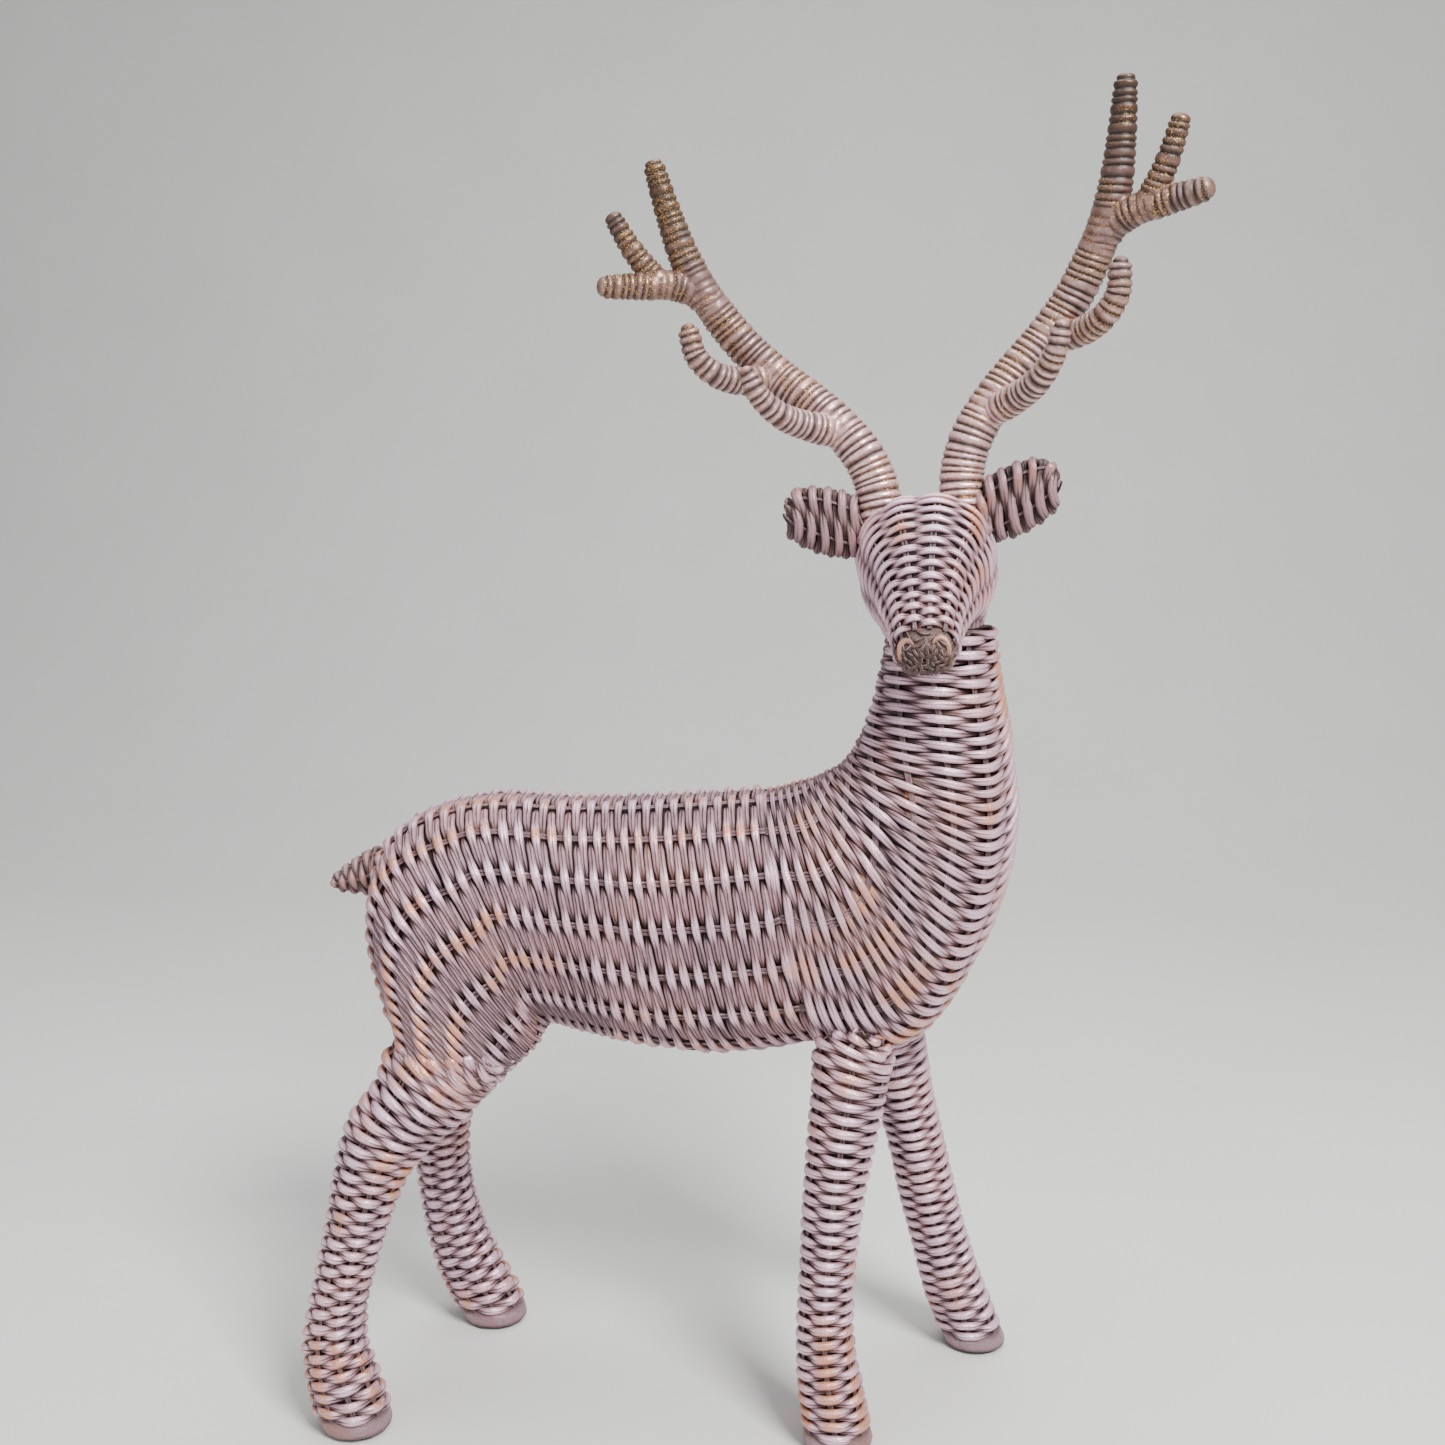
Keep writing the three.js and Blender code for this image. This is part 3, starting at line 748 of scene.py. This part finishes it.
def make_nose_corners(on_pad, facing):
    """A curved copper strand at each side of the nose pad."""
    corners = Builder()
    for side in (-1, 1):
        line = np.array([on_pad(side * (0.52 + 0.30 * math.cos(a)), 0.28 + 0.44 * math.sin(a),
                                0.6 * MM) for a in np.linspace(-0.5, 2.3, 12)])
        thick = (1.1 + 1.3 * np.sin(np.linspace(0.1, math.pi - 0.1, 12))) * MM
        corners.tube(line, np.repeat(facing[None], 12, 0), thick, thick, np.zeros(12), np.ones(12),
                     -1.2 * MM, 1.2 * MM, 8, False, rng.random())
    ride(corners.make("nose_corners", paints["copper"]), "statue", "cast_dark")


# The middle of an ear's root and tip: mm forward, out and up in the head.
EAR_ROOT = (-4.5, 21.0, 32.0)
EAR_TIP = (-1.0, 50.6, 45.2)
EAR_SLANT = 3.4               # rows that a strand rises and falls on its way round
THIN_ROW_STEP = 1.2 * MM      # between two rows of an ear or the tail


def make_ear(name, side):
    rows_across = axis_rows(in_head(*EAR_ROOT, side), in_head(*EAR_TIP, side), UP, THIN_ROW_STEP)
    skin = Skin(tree_of(f"ear_{name}"), *rows_across)
    rows = skin.rows_at_pitch(EAR_WEAVE.pitch, 0.25, 0.5)

    def slant(turns, row):
        return EAR_SLANT * np.cos(2 * math.pi * turns)

    woven_casting(f"ear_{name}", f"ear_{name}", skin, EAR_WEAVE, rows, "dark", points_round=56,
                  bow=slant)


def make_tail():
    low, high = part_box("tail")
    size = high - low
    root = (high.x - 0.12 * size.x, (low.y + high.y) / 2, low.z + 0.52 * size.z)
    tip = (low.x + 0.2 * MM, (low.y + high.y) / 2, low.z + 0.2 * size.z)
    skin = Skin(tree_of("tail"), *axis_rows(root, tip, (0, 0, 1), THIN_ROW_STEP))
    rows = skin.rows_at_pitch(TAIL_WEAVE.pitch, 0.25, 0.3)
    woven_casting("tail", "tail", skin, TAIL_WEAVE, rows, "dark", points_round=48)


# ---- antlers ----
# Points are mm forward, out and up in the head; radii run from the root to the tip.
BEAM = ([(-6, 14.8, 37), (-8, 16.3, 51), (-9, 20.8, 63), (-11, 29.5, 75), (-14, 39.6, 85.5),
         (-16, 50.4, 95.8), (-16, 60.5, 107.2), (-14, 68.3, 118.8), (-10, 76, 133)], 7.0, 5.5)
TINES = {
    "top": ([(-11.5, 73.5, 127), (-7, 79, 143), (-3, 82.5, 160), (0, 84.8, 175)], 5.9, 3.2),
    "outer": ([(-11, 75, 130), (-6, 83, 133.5), (0, 94, 134.2), (7, 106.5, 134.8)], 5.3, 3.4),
    "middle": ([(-3, 88, 134), (0, 93, 141), (3.5, 97.5, 149.5), (6, 100.9, 158)], 4.1, 2.8),
    "brow": ([(-10, 27, 71), (-2, 37, 74), (8, 46, 78.5), (15, 52.5, 86), (17, 55.5, 94)],
             5.2, 2.8),
    "second": ([(-15, 52, 96.5), (-9, 61, 94.8), (1, 70, 97.5), (6.5, 76, 104.5),
                (8, 77.5, 113)], 4.6, 3.2),
}
LIMB_GROWTH = 1.17          # the coil stands this much outside the casting's limbs
COLLAR_HEIGHT = 5.0         # mm
COLLAR_RADIUS = 8.3         # mm
COIL_DEPTH = 1.15 * MM      # from a turn's crest down to the groove beside it
BATCH = 20000               # points measured at a time


def limb(points, root, tip, step=0.6 * MM):
    """Even points along a limb's curve, with a radius at each."""
    keys = [HEAD + MM * (f * FORWARD + o * LEFT + u * UP) for f, o, u in points]
    path = even_steps(smooth_path(keys, 80), step)
    return path, np.linspace(root, tip, len(path)) * LIMB_GROWTH * MM


def limb_mesh(path, radii, dome):
    """The rings of a round tube of the given radii, with a domed end if asked."""
    heading = unit(np.gradient(path, axis=0))
    side = unit(np.cross(heading, FORWARD))
    over = np.cross(side, heading)
    count = 20
    angles = np.arange(count) * 2 * math.pi / count
    centres, sizes = list(path), list(radii)
    for a in np.radians([20, 40, 60, 80] if dome else []):
        centres.append(path[-1] + heading[-1] * radii[-1] * math.sin(a))
        sizes.append(radii[-1] * math.cos(a))
    points = []
    for i, (centre, size) in enumerate(zip(centres, sizes)):
        j = min(i, len(path) - 1)
        points.append(centre + size * (np.outer(np.cos(angles), side[j])
                                       + np.outer(np.sin(angles), over[j])))
    return np.array(points)


def make_antler(name, side):
    """The beam, tines and collar, fused into one mesh and wound with a strand."""
    limbs = []
    for path, radii in [limb(*BEAM)] + [limb(*tine) for tine in TINES.values()]:
        if side < 0:
            path = path - 2 * ((path - HEAD) @ LEFT)[:, None] * LEFT
        limbs.append((path, radii))
    body = bmesh.new()
    for i, (path, radii) in enumerate(limbs):
        add_limb(body, limb_mesh(path, radii, i > 0))
    beam = limbs[0][0]
    foot, seat_way = beam[0], unit(beam[6] - beam[0])
    collar = np.array([foot, foot + seat_way * COLLAR_HEIGHT * 0.5 * MM,
                       foot + seat_way * COLLAR_HEIGHT * MM])
    add_limb(body, limb_mesh(collar, np.array([0.96, 1.0, 0.93]) * COLLAR_RADIUS * MM, False))
    mesh = bpy.data.meshes.new(f"antler_{name}_base")
    body.to_mesh(mesh)
    body.free()
    base = place_object(mesh.name, mesh)
    fuse = base.modifiers.new("fuse", "REMESH")
    fuse.mode = "VOXEL"
    fuse.voxel_size = ANTLER_VOXEL
    soften = base.modifiers.new("soften", "SMOOTH")
    soften.factor = 0.5
    soften.iterations = 9
    graph = bpy.context.evaluated_depsgraph_get()
    fused = bpy.data.meshes.new_from_object(base.evaluated_get(graph))
    bpy.data.objects.remove(base)
    fused.name = f"antler_{name}_coil"
    wind_coil(fused, limbs)
    fused.materials.clear()
    fused.materials.append(paints["bronze"])
    piece = place_object(fused.name, fused)
    ride(piece, f"antler_{name}", "cast_bronze", f"antler_{name}")


def add_limb(body, rings):
    """Adds a tube of rings to a bmesh, with a flat face on each end."""
    layers = [[body.verts.new(point) for point in ring] for ring in rings]
    count = len(layers[0])
    for low, high in zip(layers, layers[1:]):
        for k in range(count):
            n = (k + 1) % count
            body.faces.new((low[k], low[n], high[n], high[k]))
    body.faces.new(layers[0][::-1])
    body.faces.new(layers[-1])


def wind_coil(mesh, limbs):
    """Raises the fused antler into the turns of a wound strand that fade where limbs meet."""
    count = len(mesh.vertices)
    points = np.empty((count, 3))
    mesh.vertices.foreach_get("co", points.ravel())
    normals = np.empty((count, 3))
    mesh.vertex_normals.foreach_get("vector", normals.ravel())
    near = np.full(count, 1e9)
    second = np.full(count, 1e9)
    along = np.zeros(count)
    turn = np.zeros(count)
    for index, (path, radii) in enumerate(limbs):
        heading = unit(np.gradient(path, axis=0))
        length = lengths(path)
        best = np.empty(count)
        where = np.empty(count, int)
        for start in range(0, count, BATCH):
            part = slice(start, start + BATCH)
            gap = np.linalg.norm(points[part, None] - path[None], axis=2) / radii[None]
            where[part] = gap.argmin(1)
            best[part] = gap.min(1)
        offset = points - path[where]
        tilt = offset @ unit(UP + 0.5 * FORWARD * (-1) ** index)
        here = length[where] + (offset * heading[where]).sum(1) + 0.12 * tilt
        closer = best < near
        second = np.where(closer, near, np.minimum(second, best))
        near = np.where(closer, best, near)
        along = np.where(closer, here, along)
        turn = np.where(closer, index, turn)
    uneven = 0.14 * np.sin(along / MM * 0.37 + turn) + 0.12 * np.sin(along / MM * 0.9 + 2 * turn)
    phase = along / COIL_PITCH + uneven
    band = np.abs(np.cos(math.pi * phase)) ** 0.55
    clear = np.clip((second - near) / 0.4, 0.4, 1)
    moved = points + normals * ((band - 0.5) * COIL_DEPTH * clear)[:, None]
    mesh.vertices.foreach_set("co", moved.ravel())
    rise = (points - HEAD) @ UP / MM
    # Height is low in the grooves between turns, where the paint puts painted shade, and high on the
    # crests, where it puts a painted highlight.
    put_attribute(mesh, "height", "FLOAT", 1 - (1 - band) * clear)
    put_attribute(mesh, "crest", "FLOAT", np.clip((rise - 45) / 120, 0, 1))
    put_attribute(mesh, "cane", "FLOAT_VECTOR",
                  np.stack([(points @ LEFT) / MM * 0.7, phase * 3.5, np.floor(phase) * 7], 1))
    mesh.update()


# ---- materials ----
def linear(colour):
    """A colour given in screen values from 0 to 255, as linear light."""
    parts = [value / 255 for value in colour]
    return [v / 12.92 if v <= 0.04045 else ((v + 0.055) / 1.055) ** 2.4 for v in parts] + [1.0]


class Paint:
    """A material under construction, with short names for the nodes that make it up."""

    def __init__(self, name):
        self.material = bpy.data.materials.new(name)
        self.material.use_nodes = True
        self.tree = self.material.node_tree
        self.tree.nodes.clear()
        self.surface = self.add("BsdfPrincipled")
        output = self.add("OutputMaterial")
        self.put(output.inputs[0], self.surface.outputs[0])
        self.place = self.add("TexCoord").outputs["Object"]

    def put(self, socket, value):
        """Links a value that is another node's output, and sets any other."""
        if isinstance(value, bpy.types.NodeSocket):
            self.tree.links.new(value, socket)
        else:
            socket.default_value = value

    def add(self, kind, values=None, **settings):
        made = self.tree.nodes.new("ShaderNode" + kind)
        for key, value in settings.items():
            setattr(made, key, value)
        for key, value in (values or {}).items():
            self.put(made.inputs[key], value)
        return made

    def number(self, operation, a, b, clamp=False):
        return self.add("Math", {0: a, 1: b}, operation=operation, use_clamp=clamp).outputs[0]

    def plus(self, a, b):
        return self.number("ADD", a, b)

    def minus(self, a, b):
        return self.number("SUBTRACT", a, b)

    def times(self, a, b, clamp=False):
        return self.number("MULTIPLY", a, b, clamp)

    def spread(self, value, low, high):
        """Maps low..high to 0..1, clamped, with smooth ends."""
        return self.add("MapRange", {0: value, 1: low, 2: high},
                        interpolation_type="SMOOTHSTEP").outputs[0]

    def ramp(self, value, low, high, first, last):
        """Maps low..high to first..last in a straight line, clamped."""
        return self.add("MapRange", {0: value, 1: low, 2: high, 3: first, 4: last}).outputs[0]

    def noise(self, vector, scale, detail=3.0, rough=0.55):
        return self.add("TexNoise", {"Vector": vector, "Scale": scale, "Detail": detail,
                                     "Roughness": rough}).outputs["Fac"]

    def stretched(self, vector, scales):
        return self.add("VectorMath", {0: vector, 1: scales}, operation="MULTIPLY").outputs[0]

    def mixed(self, factor, a, b):
        """Two colours mixed; a plain colour is given in screen values from 0 to 255."""
        made = self.add("Mix", data_type="RGBA", clamp_factor=True)
        self.put(made.inputs[0], factor)
        for socket, value in ((made.inputs[6], a), (made.inputs[7], b)):
            self.put(socket, linear(value) if isinstance(value, tuple) else value)
        return made.outputs[2]

    def attribute(self, name, output="Fac"):
        return self.add("Attribute", attribute_name=name).outputs[output]

    def finish(self, colour, rough, metal, relief, distance):
        """Connects the surface and returns the material. The relief is distance deep."""
        self.put(self.surface.inputs["Base Color"], colour)
        self.put(self.surface.inputs["Roughness"], rough)
        self.put(self.surface.inputs["Metallic"], metal)
        bump = self.add("Bump", {"Height": relief, "Distance": distance, "Strength": 1.0})
        self.put(self.surface.inputs["Normal"], bump.outputs[0])
        return self.material


def woven_paint(name, recess, ground, lit, warm, warm_amount, metal=0.6):
    """Cast resin painted dark, then dry-brushed with a metallic colour that catches on the
    strands and runs along them in streaks, with a warmer colour rubbed on some crests.
    Low places take the recess colour, dark paint with painted shade, and high places the
    lit colour, dry-brush with a painted highlight."""
    p = Paint(name)
    height = p.attribute("height")
    crest = p.attribute("crest")
    cane = p.attribute("cane", "Vector")
    streak = p.noise(p.stretched(cane, (0.16, 2.6, 1.0)), 1.0)
    grain = p.noise(p.place, 1500.0, 2.0)
    patch = p.noise(p.place, 42.0, 2.0)
    broad = p.noise(p.place, 14.0, 1.0)
    # How much paint a place catches: more on high places, less in the groove along a strand.
    # It sets painted shade on low places and a painted highlight on high ones.
    level = p.plus(height, p.times(streak, 0.42))
    level = p.plus(level, p.times(grain, 0.22))
    level = p.plus(level, p.times(patch, 0.16))
    # The groove along a strand is painted darker: painted shade of a groove that the mesh lacks,
    # over the dark base paint; the bump shows it too.
    across = p.add("SeparateXYZ", {0: cane}).outputs[1]
    off_line = p.plus(across, p.times(p.minus(streak, 0.5), 1.2))
    groove = p.minus(1.0, p.spread(p.number("ABSOLUTE", off_line, 0.0), 0.05, GROOVE_WIDTH))
    groove = p.times(groove, p.minus(1.0, p.times(crest, 0.7)))
    level = p.minus(level, p.times(groove, 0.60))
    body = p.spread(level, 0.52, 1.02)
    shine = p.spread(level, 0.98, 1.42)
    # Painted shade: the recess colour on low places, over the dark base paint.
    colour = p.mixed(body, recess, ground)
    # Painted highlight: the lit colour on high places, over the metallic dry-brush.
    colour = p.mixed(shine, colour, lit)
    # The warm colour is rubbed on crests in patches, and tints the rest a little.
    patches = p.spread(p.plus(patch, p.times(broad, 0.6)), 0.78, 0.98)
    rubbed = p.times(p.spread(crest, 0.45, 0.95), patches)
    rubbed = p.times(rubbed, p.plus(0.45, p.spread(broad, 0.42, 0.66)), True)
    colour = p.mixed(p.times(rubbed, warm_amount), colour, warm)
    colour = p.mixed(p.times(p.spread(patch, 0.35, 0.7), 0.12), colour, warm)
    rough = p.ramp(p.plus(shine, grain), 0.3, 1.5, 0.60, 0.24)
    relief = p.plus(p.times(streak, 1.2), p.times(grain, 0.6))
    relief = p.minus(relief, p.times(groove, 0.6))
    return p.finish(colour, rough, p.times(shine, metal), relief, 0.30 * MM)


def wound_paint(name):
    """The antlers: bronze-pink metallic on dark brown, going to brown with gold glints at the
    tips. The dark brown in the grooves between turns is base paint with painted shade, and the
    pale colour on the crests is the bronze-pink with a painted highlight."""
    p = Paint(name)
    height = p.attribute("height")
    upward = p.attribute("crest")
    streak = p.noise(p.place, 340.0)
    grain = p.noise(p.place, 1800.0, 2.0)
    patch = p.noise(p.place, 60.0, 2.0)
    level = p.plus(height, p.times(streak, 0.5))
    level = p.minus(level, p.times(upward, 0.12))
    body = p.spread(level, 0.55, 1.05)
    shine = p.spread(level, 0.98, 1.32)
    low = p.mixed(upward, (148, 108, 106), (56, 38, 29))
    high = p.mixed(upward, (250, 212, 212), (100, 68, 48))
    # Painted shade: dark brown in the grooves between turns, over the base paint.
    colour = p.mixed(body, (46, 31, 26), low)
    # Painted highlight: the pale high colour on the crests of the turns.
    colour = p.mixed(shine, colour, high)
    gilded = p.spread(p.plus(patch, p.times(upward, 0.08)), 0.48, 0.60)
    glint = p.times(p.spread(grain, 0.56, 0.66), gilded)
    colour = p.mixed(p.times(glint, 0.85), colour, (235, 178, 84))
    rough = p.ramp(p.plus(shine, grain), 0.3, 1.5, 0.55, 0.26)
    relief = p.plus(streak, p.times(grain, 0.4))
    metal = p.times(p.plus(shine, glint), 0.7, True)
    return p.finish(colour, rough, metal, relief, 0.25 * MM)


def plain_material(name, dark, light, smooth, rough, metal, scale, stretch, depth):
    """Steel, rubber or felt: two close tones mixed by a stretched grain."""
    p = Paint(name)
    grain = p.noise(p.stretched(p.place, stretch), scale, 4.0, 0.65)
    cloud = p.noise(p.place, 90.0, 2.0)
    both = p.plus(p.times(grain, 0.7), p.times(cloud, 0.3))
    colour = p.mixed(p.spread(both, 0.35, 0.65), dark, light)
    return p.finish(colour, p.ramp(both, 0.3, 0.7, smooth, rough), metal, grain, depth)


def make_paints():
    """Every paint by its use. A woven paint is given its recess colour, dark paint with painted
    shade, its ground colour, its lit colour, dry-brush with a painted highlight, its warm colour,
    how strong the warm one is, and how metallic the lit one."""
    return {
        # Body paint: the dry-brush mauve, with painted shade in the recesses and a painted highlight
        # on the crests.
        "body": woven_paint("mauve_dry_brush_and_painted_light", (50, 35, 35), (142, 110, 121), (242, 206, 226),
                            (206, 138, 96), 0.75),
        # Core paint: the dark base in the gaps between strands with painted shade there, and a dim
        # painted highlight on the stake rods.
        "core": woven_paint("dark_core_paint_and_painted_light", (46, 32, 32), (116, 90, 98), (180, 150, 164),
                            (150, 106, 84), 0.3),
        # Ears and tail: grey-bronze dry-brush, with painted shade in the recesses and a painted
        # highlight on the crests.
        "dark": woven_paint("grey_bronze_dry_brush_and_painted_light", (38, 27, 27), (94, 70, 73),
                            (160, 128, 136), (166, 110, 80), 0.7, 0.2),
        "nose": woven_paint("nose_bronze", (46, 33, 31), (116, 92, 90), (200, 170, 170),
                            (190, 126, 92), 0.8, 0.2),
        "copper": woven_paint("rubbed_copper", (60, 40, 34), (132, 92, 78), (204, 156, 134),
                              (196, 130, 92), 0.5, 0.3),
        "hoof": woven_paint("hoof_bronze", (54, 39, 37), (106, 80, 84), (168, 138, 148),
                            (146, 98, 78), 0.5),
        "bronze": wound_paint("antler_bronze"),
        "steel": plain_material("drawn_steel", (120, 122, 126), (176, 178, 182), 0.25, 0.42,
                                1.0, 900.0, (1, 1, 0.08), 0.05 * MM),
        "rubber": plain_material("stopper_rubber", (40, 36, 34), (62, 57, 54), 0.6, 0.85,
                                 0.0, 700.0, (1, 1, 1), 0.10 * MM),
        "felt": plain_material("felt_pad", (34, 30, 28), (70, 63, 58), 0.9, 1.0,
                               0.0, 1600.0, (1, 1, 1), 0.35 * MM),
    }


def paint_frame_nodes():
    """The CAD nodes that stay in sight, or inside, get their own finish."""
    for node, piece in frame["nodes"].items():
        for word, kind in (("wire", "steel"), ("pin", "steel"), ("plug", "rubber"),
                           ("foot_pad", "felt")):
            if word in node:
                piece.data.materials.clear()
                piece.data.materials.append(paints[kind])


# ---- stage ----
FLOOR_HALF, FLOOR_FRONT, FLOOR_BACK = 6.0, -7.0, 1.5     # metres from the stag
FLOOR_RISE, FLOOR_BEND = 4.0, 0.8                        # of its back, and the curve's radius

# From the middle of the frame's box.
CAMERA_PLACE = (0.0451, -0.5447, 0.1092)
CAMERA_PITCH = 81.2
CAMERA_TURN = 5.1
LENS = 36.0
SENSOR = 36.0

# Place from the middle of the frame's box, size in metres, watts and colour.
LAMPS = {
    "key": ((0.55, -0.75, 0.95), 0.45, 36, (1.0, 0.99, 0.98)),
    "fill": ((-0.9, -0.8, 0.25), 0.9, 4, (0.95, 0.97, 1.0)),
    "top": ((0.0, 0.1, 1.1), 0.8, 13, (1, 1, 1)),
}


def make_floor():
    """A pale sheet that curves up into a back wall."""
    flat_end = FLOOR_BACK - FLOOR_BEND
    profile = [(FLOOR_FRONT, 0.0), (flat_end, 0.0)]
    for angle in np.radians(np.arange(1, 13) * 7.5):
        profile.append((flat_end + FLOOR_BEND * math.sin(angle),
                        FLOOR_BEND - FLOOR_BEND * math.cos(angle)))
    profile.append((FLOOR_BACK, FLOOR_RISE))
    mesh = bpy.data.meshes.new("floor")
    points = [(x, y, z) for x in (-FLOOR_HALF, FLOOR_HALF) for y, z in profile]
    count = len(profile)
    faces = [(k, k + 1, count + k + 1, count + k) for k in range(count - 1)]
    mesh.from_pydata(points, [], faces)
    p = Paint("pale_floor")
    cloud = p.noise(p.place, 6.0, 2.0)
    colour = p.mixed(cloud, (206, 207, 204), (216, 216, 214))
    rough = p.plus(0.75, p.times(cloud, 0.1))
    mesh.materials.append(p.finish(colour, rough, 0.0, p.noise(p.place, 300.0), 0.1 * MM))
    place_object("floor", mesh)


def make_stage():
    low, high = CAD_BOX
    centre = (low + high) / 2
    make_floor()
    for name, (place, size, watts, colour) in LAMPS.items():
        data = bpy.data.lights.new(name, "AREA")
        data.energy = watts
        data.size = size
        data.color = colour
        lamp = place_object(name, data)
        lamp.location = centre + Vector(place)
        lamp.rotation_euler = (-Vector(place)).to_track_quat("-Z", "Y").to_euler()
    world = bpy.data.worlds.new("studio")
    world.use_nodes = True
    world.node_tree.nodes["Background"].inputs[0].default_value = (0.78, 0.8, 0.82, 1)
    world.node_tree.nodes["Background"].inputs[1].default_value = 0.48
    bpy.context.scene.world = world
    data = bpy.data.cameras.new("camera")
    data.lens = LENS
    data.sensor_width = SENSOR
    data.clip_start = 0.01
    camera = place_object("camera", data)
    camera.location = centre + Vector(CAMERA_PLACE)
    camera.rotation_euler = (math.radians(CAMERA_PITCH), 0, math.radians(CAMERA_TURN))
    bpy.context.scene.camera = camera


# ---- build ----
paints = make_paints()
paint_frame_nodes()
make_trunk()
for leg in LEG_TOPS:
    make_leg(leg)
make_head()
for side_name, side_sign in (("left", 1), ("right", -1)):
    make_ear(side_name, side_sign)
    make_antler(side_name, side_sign)
make_tail()
make_stage()
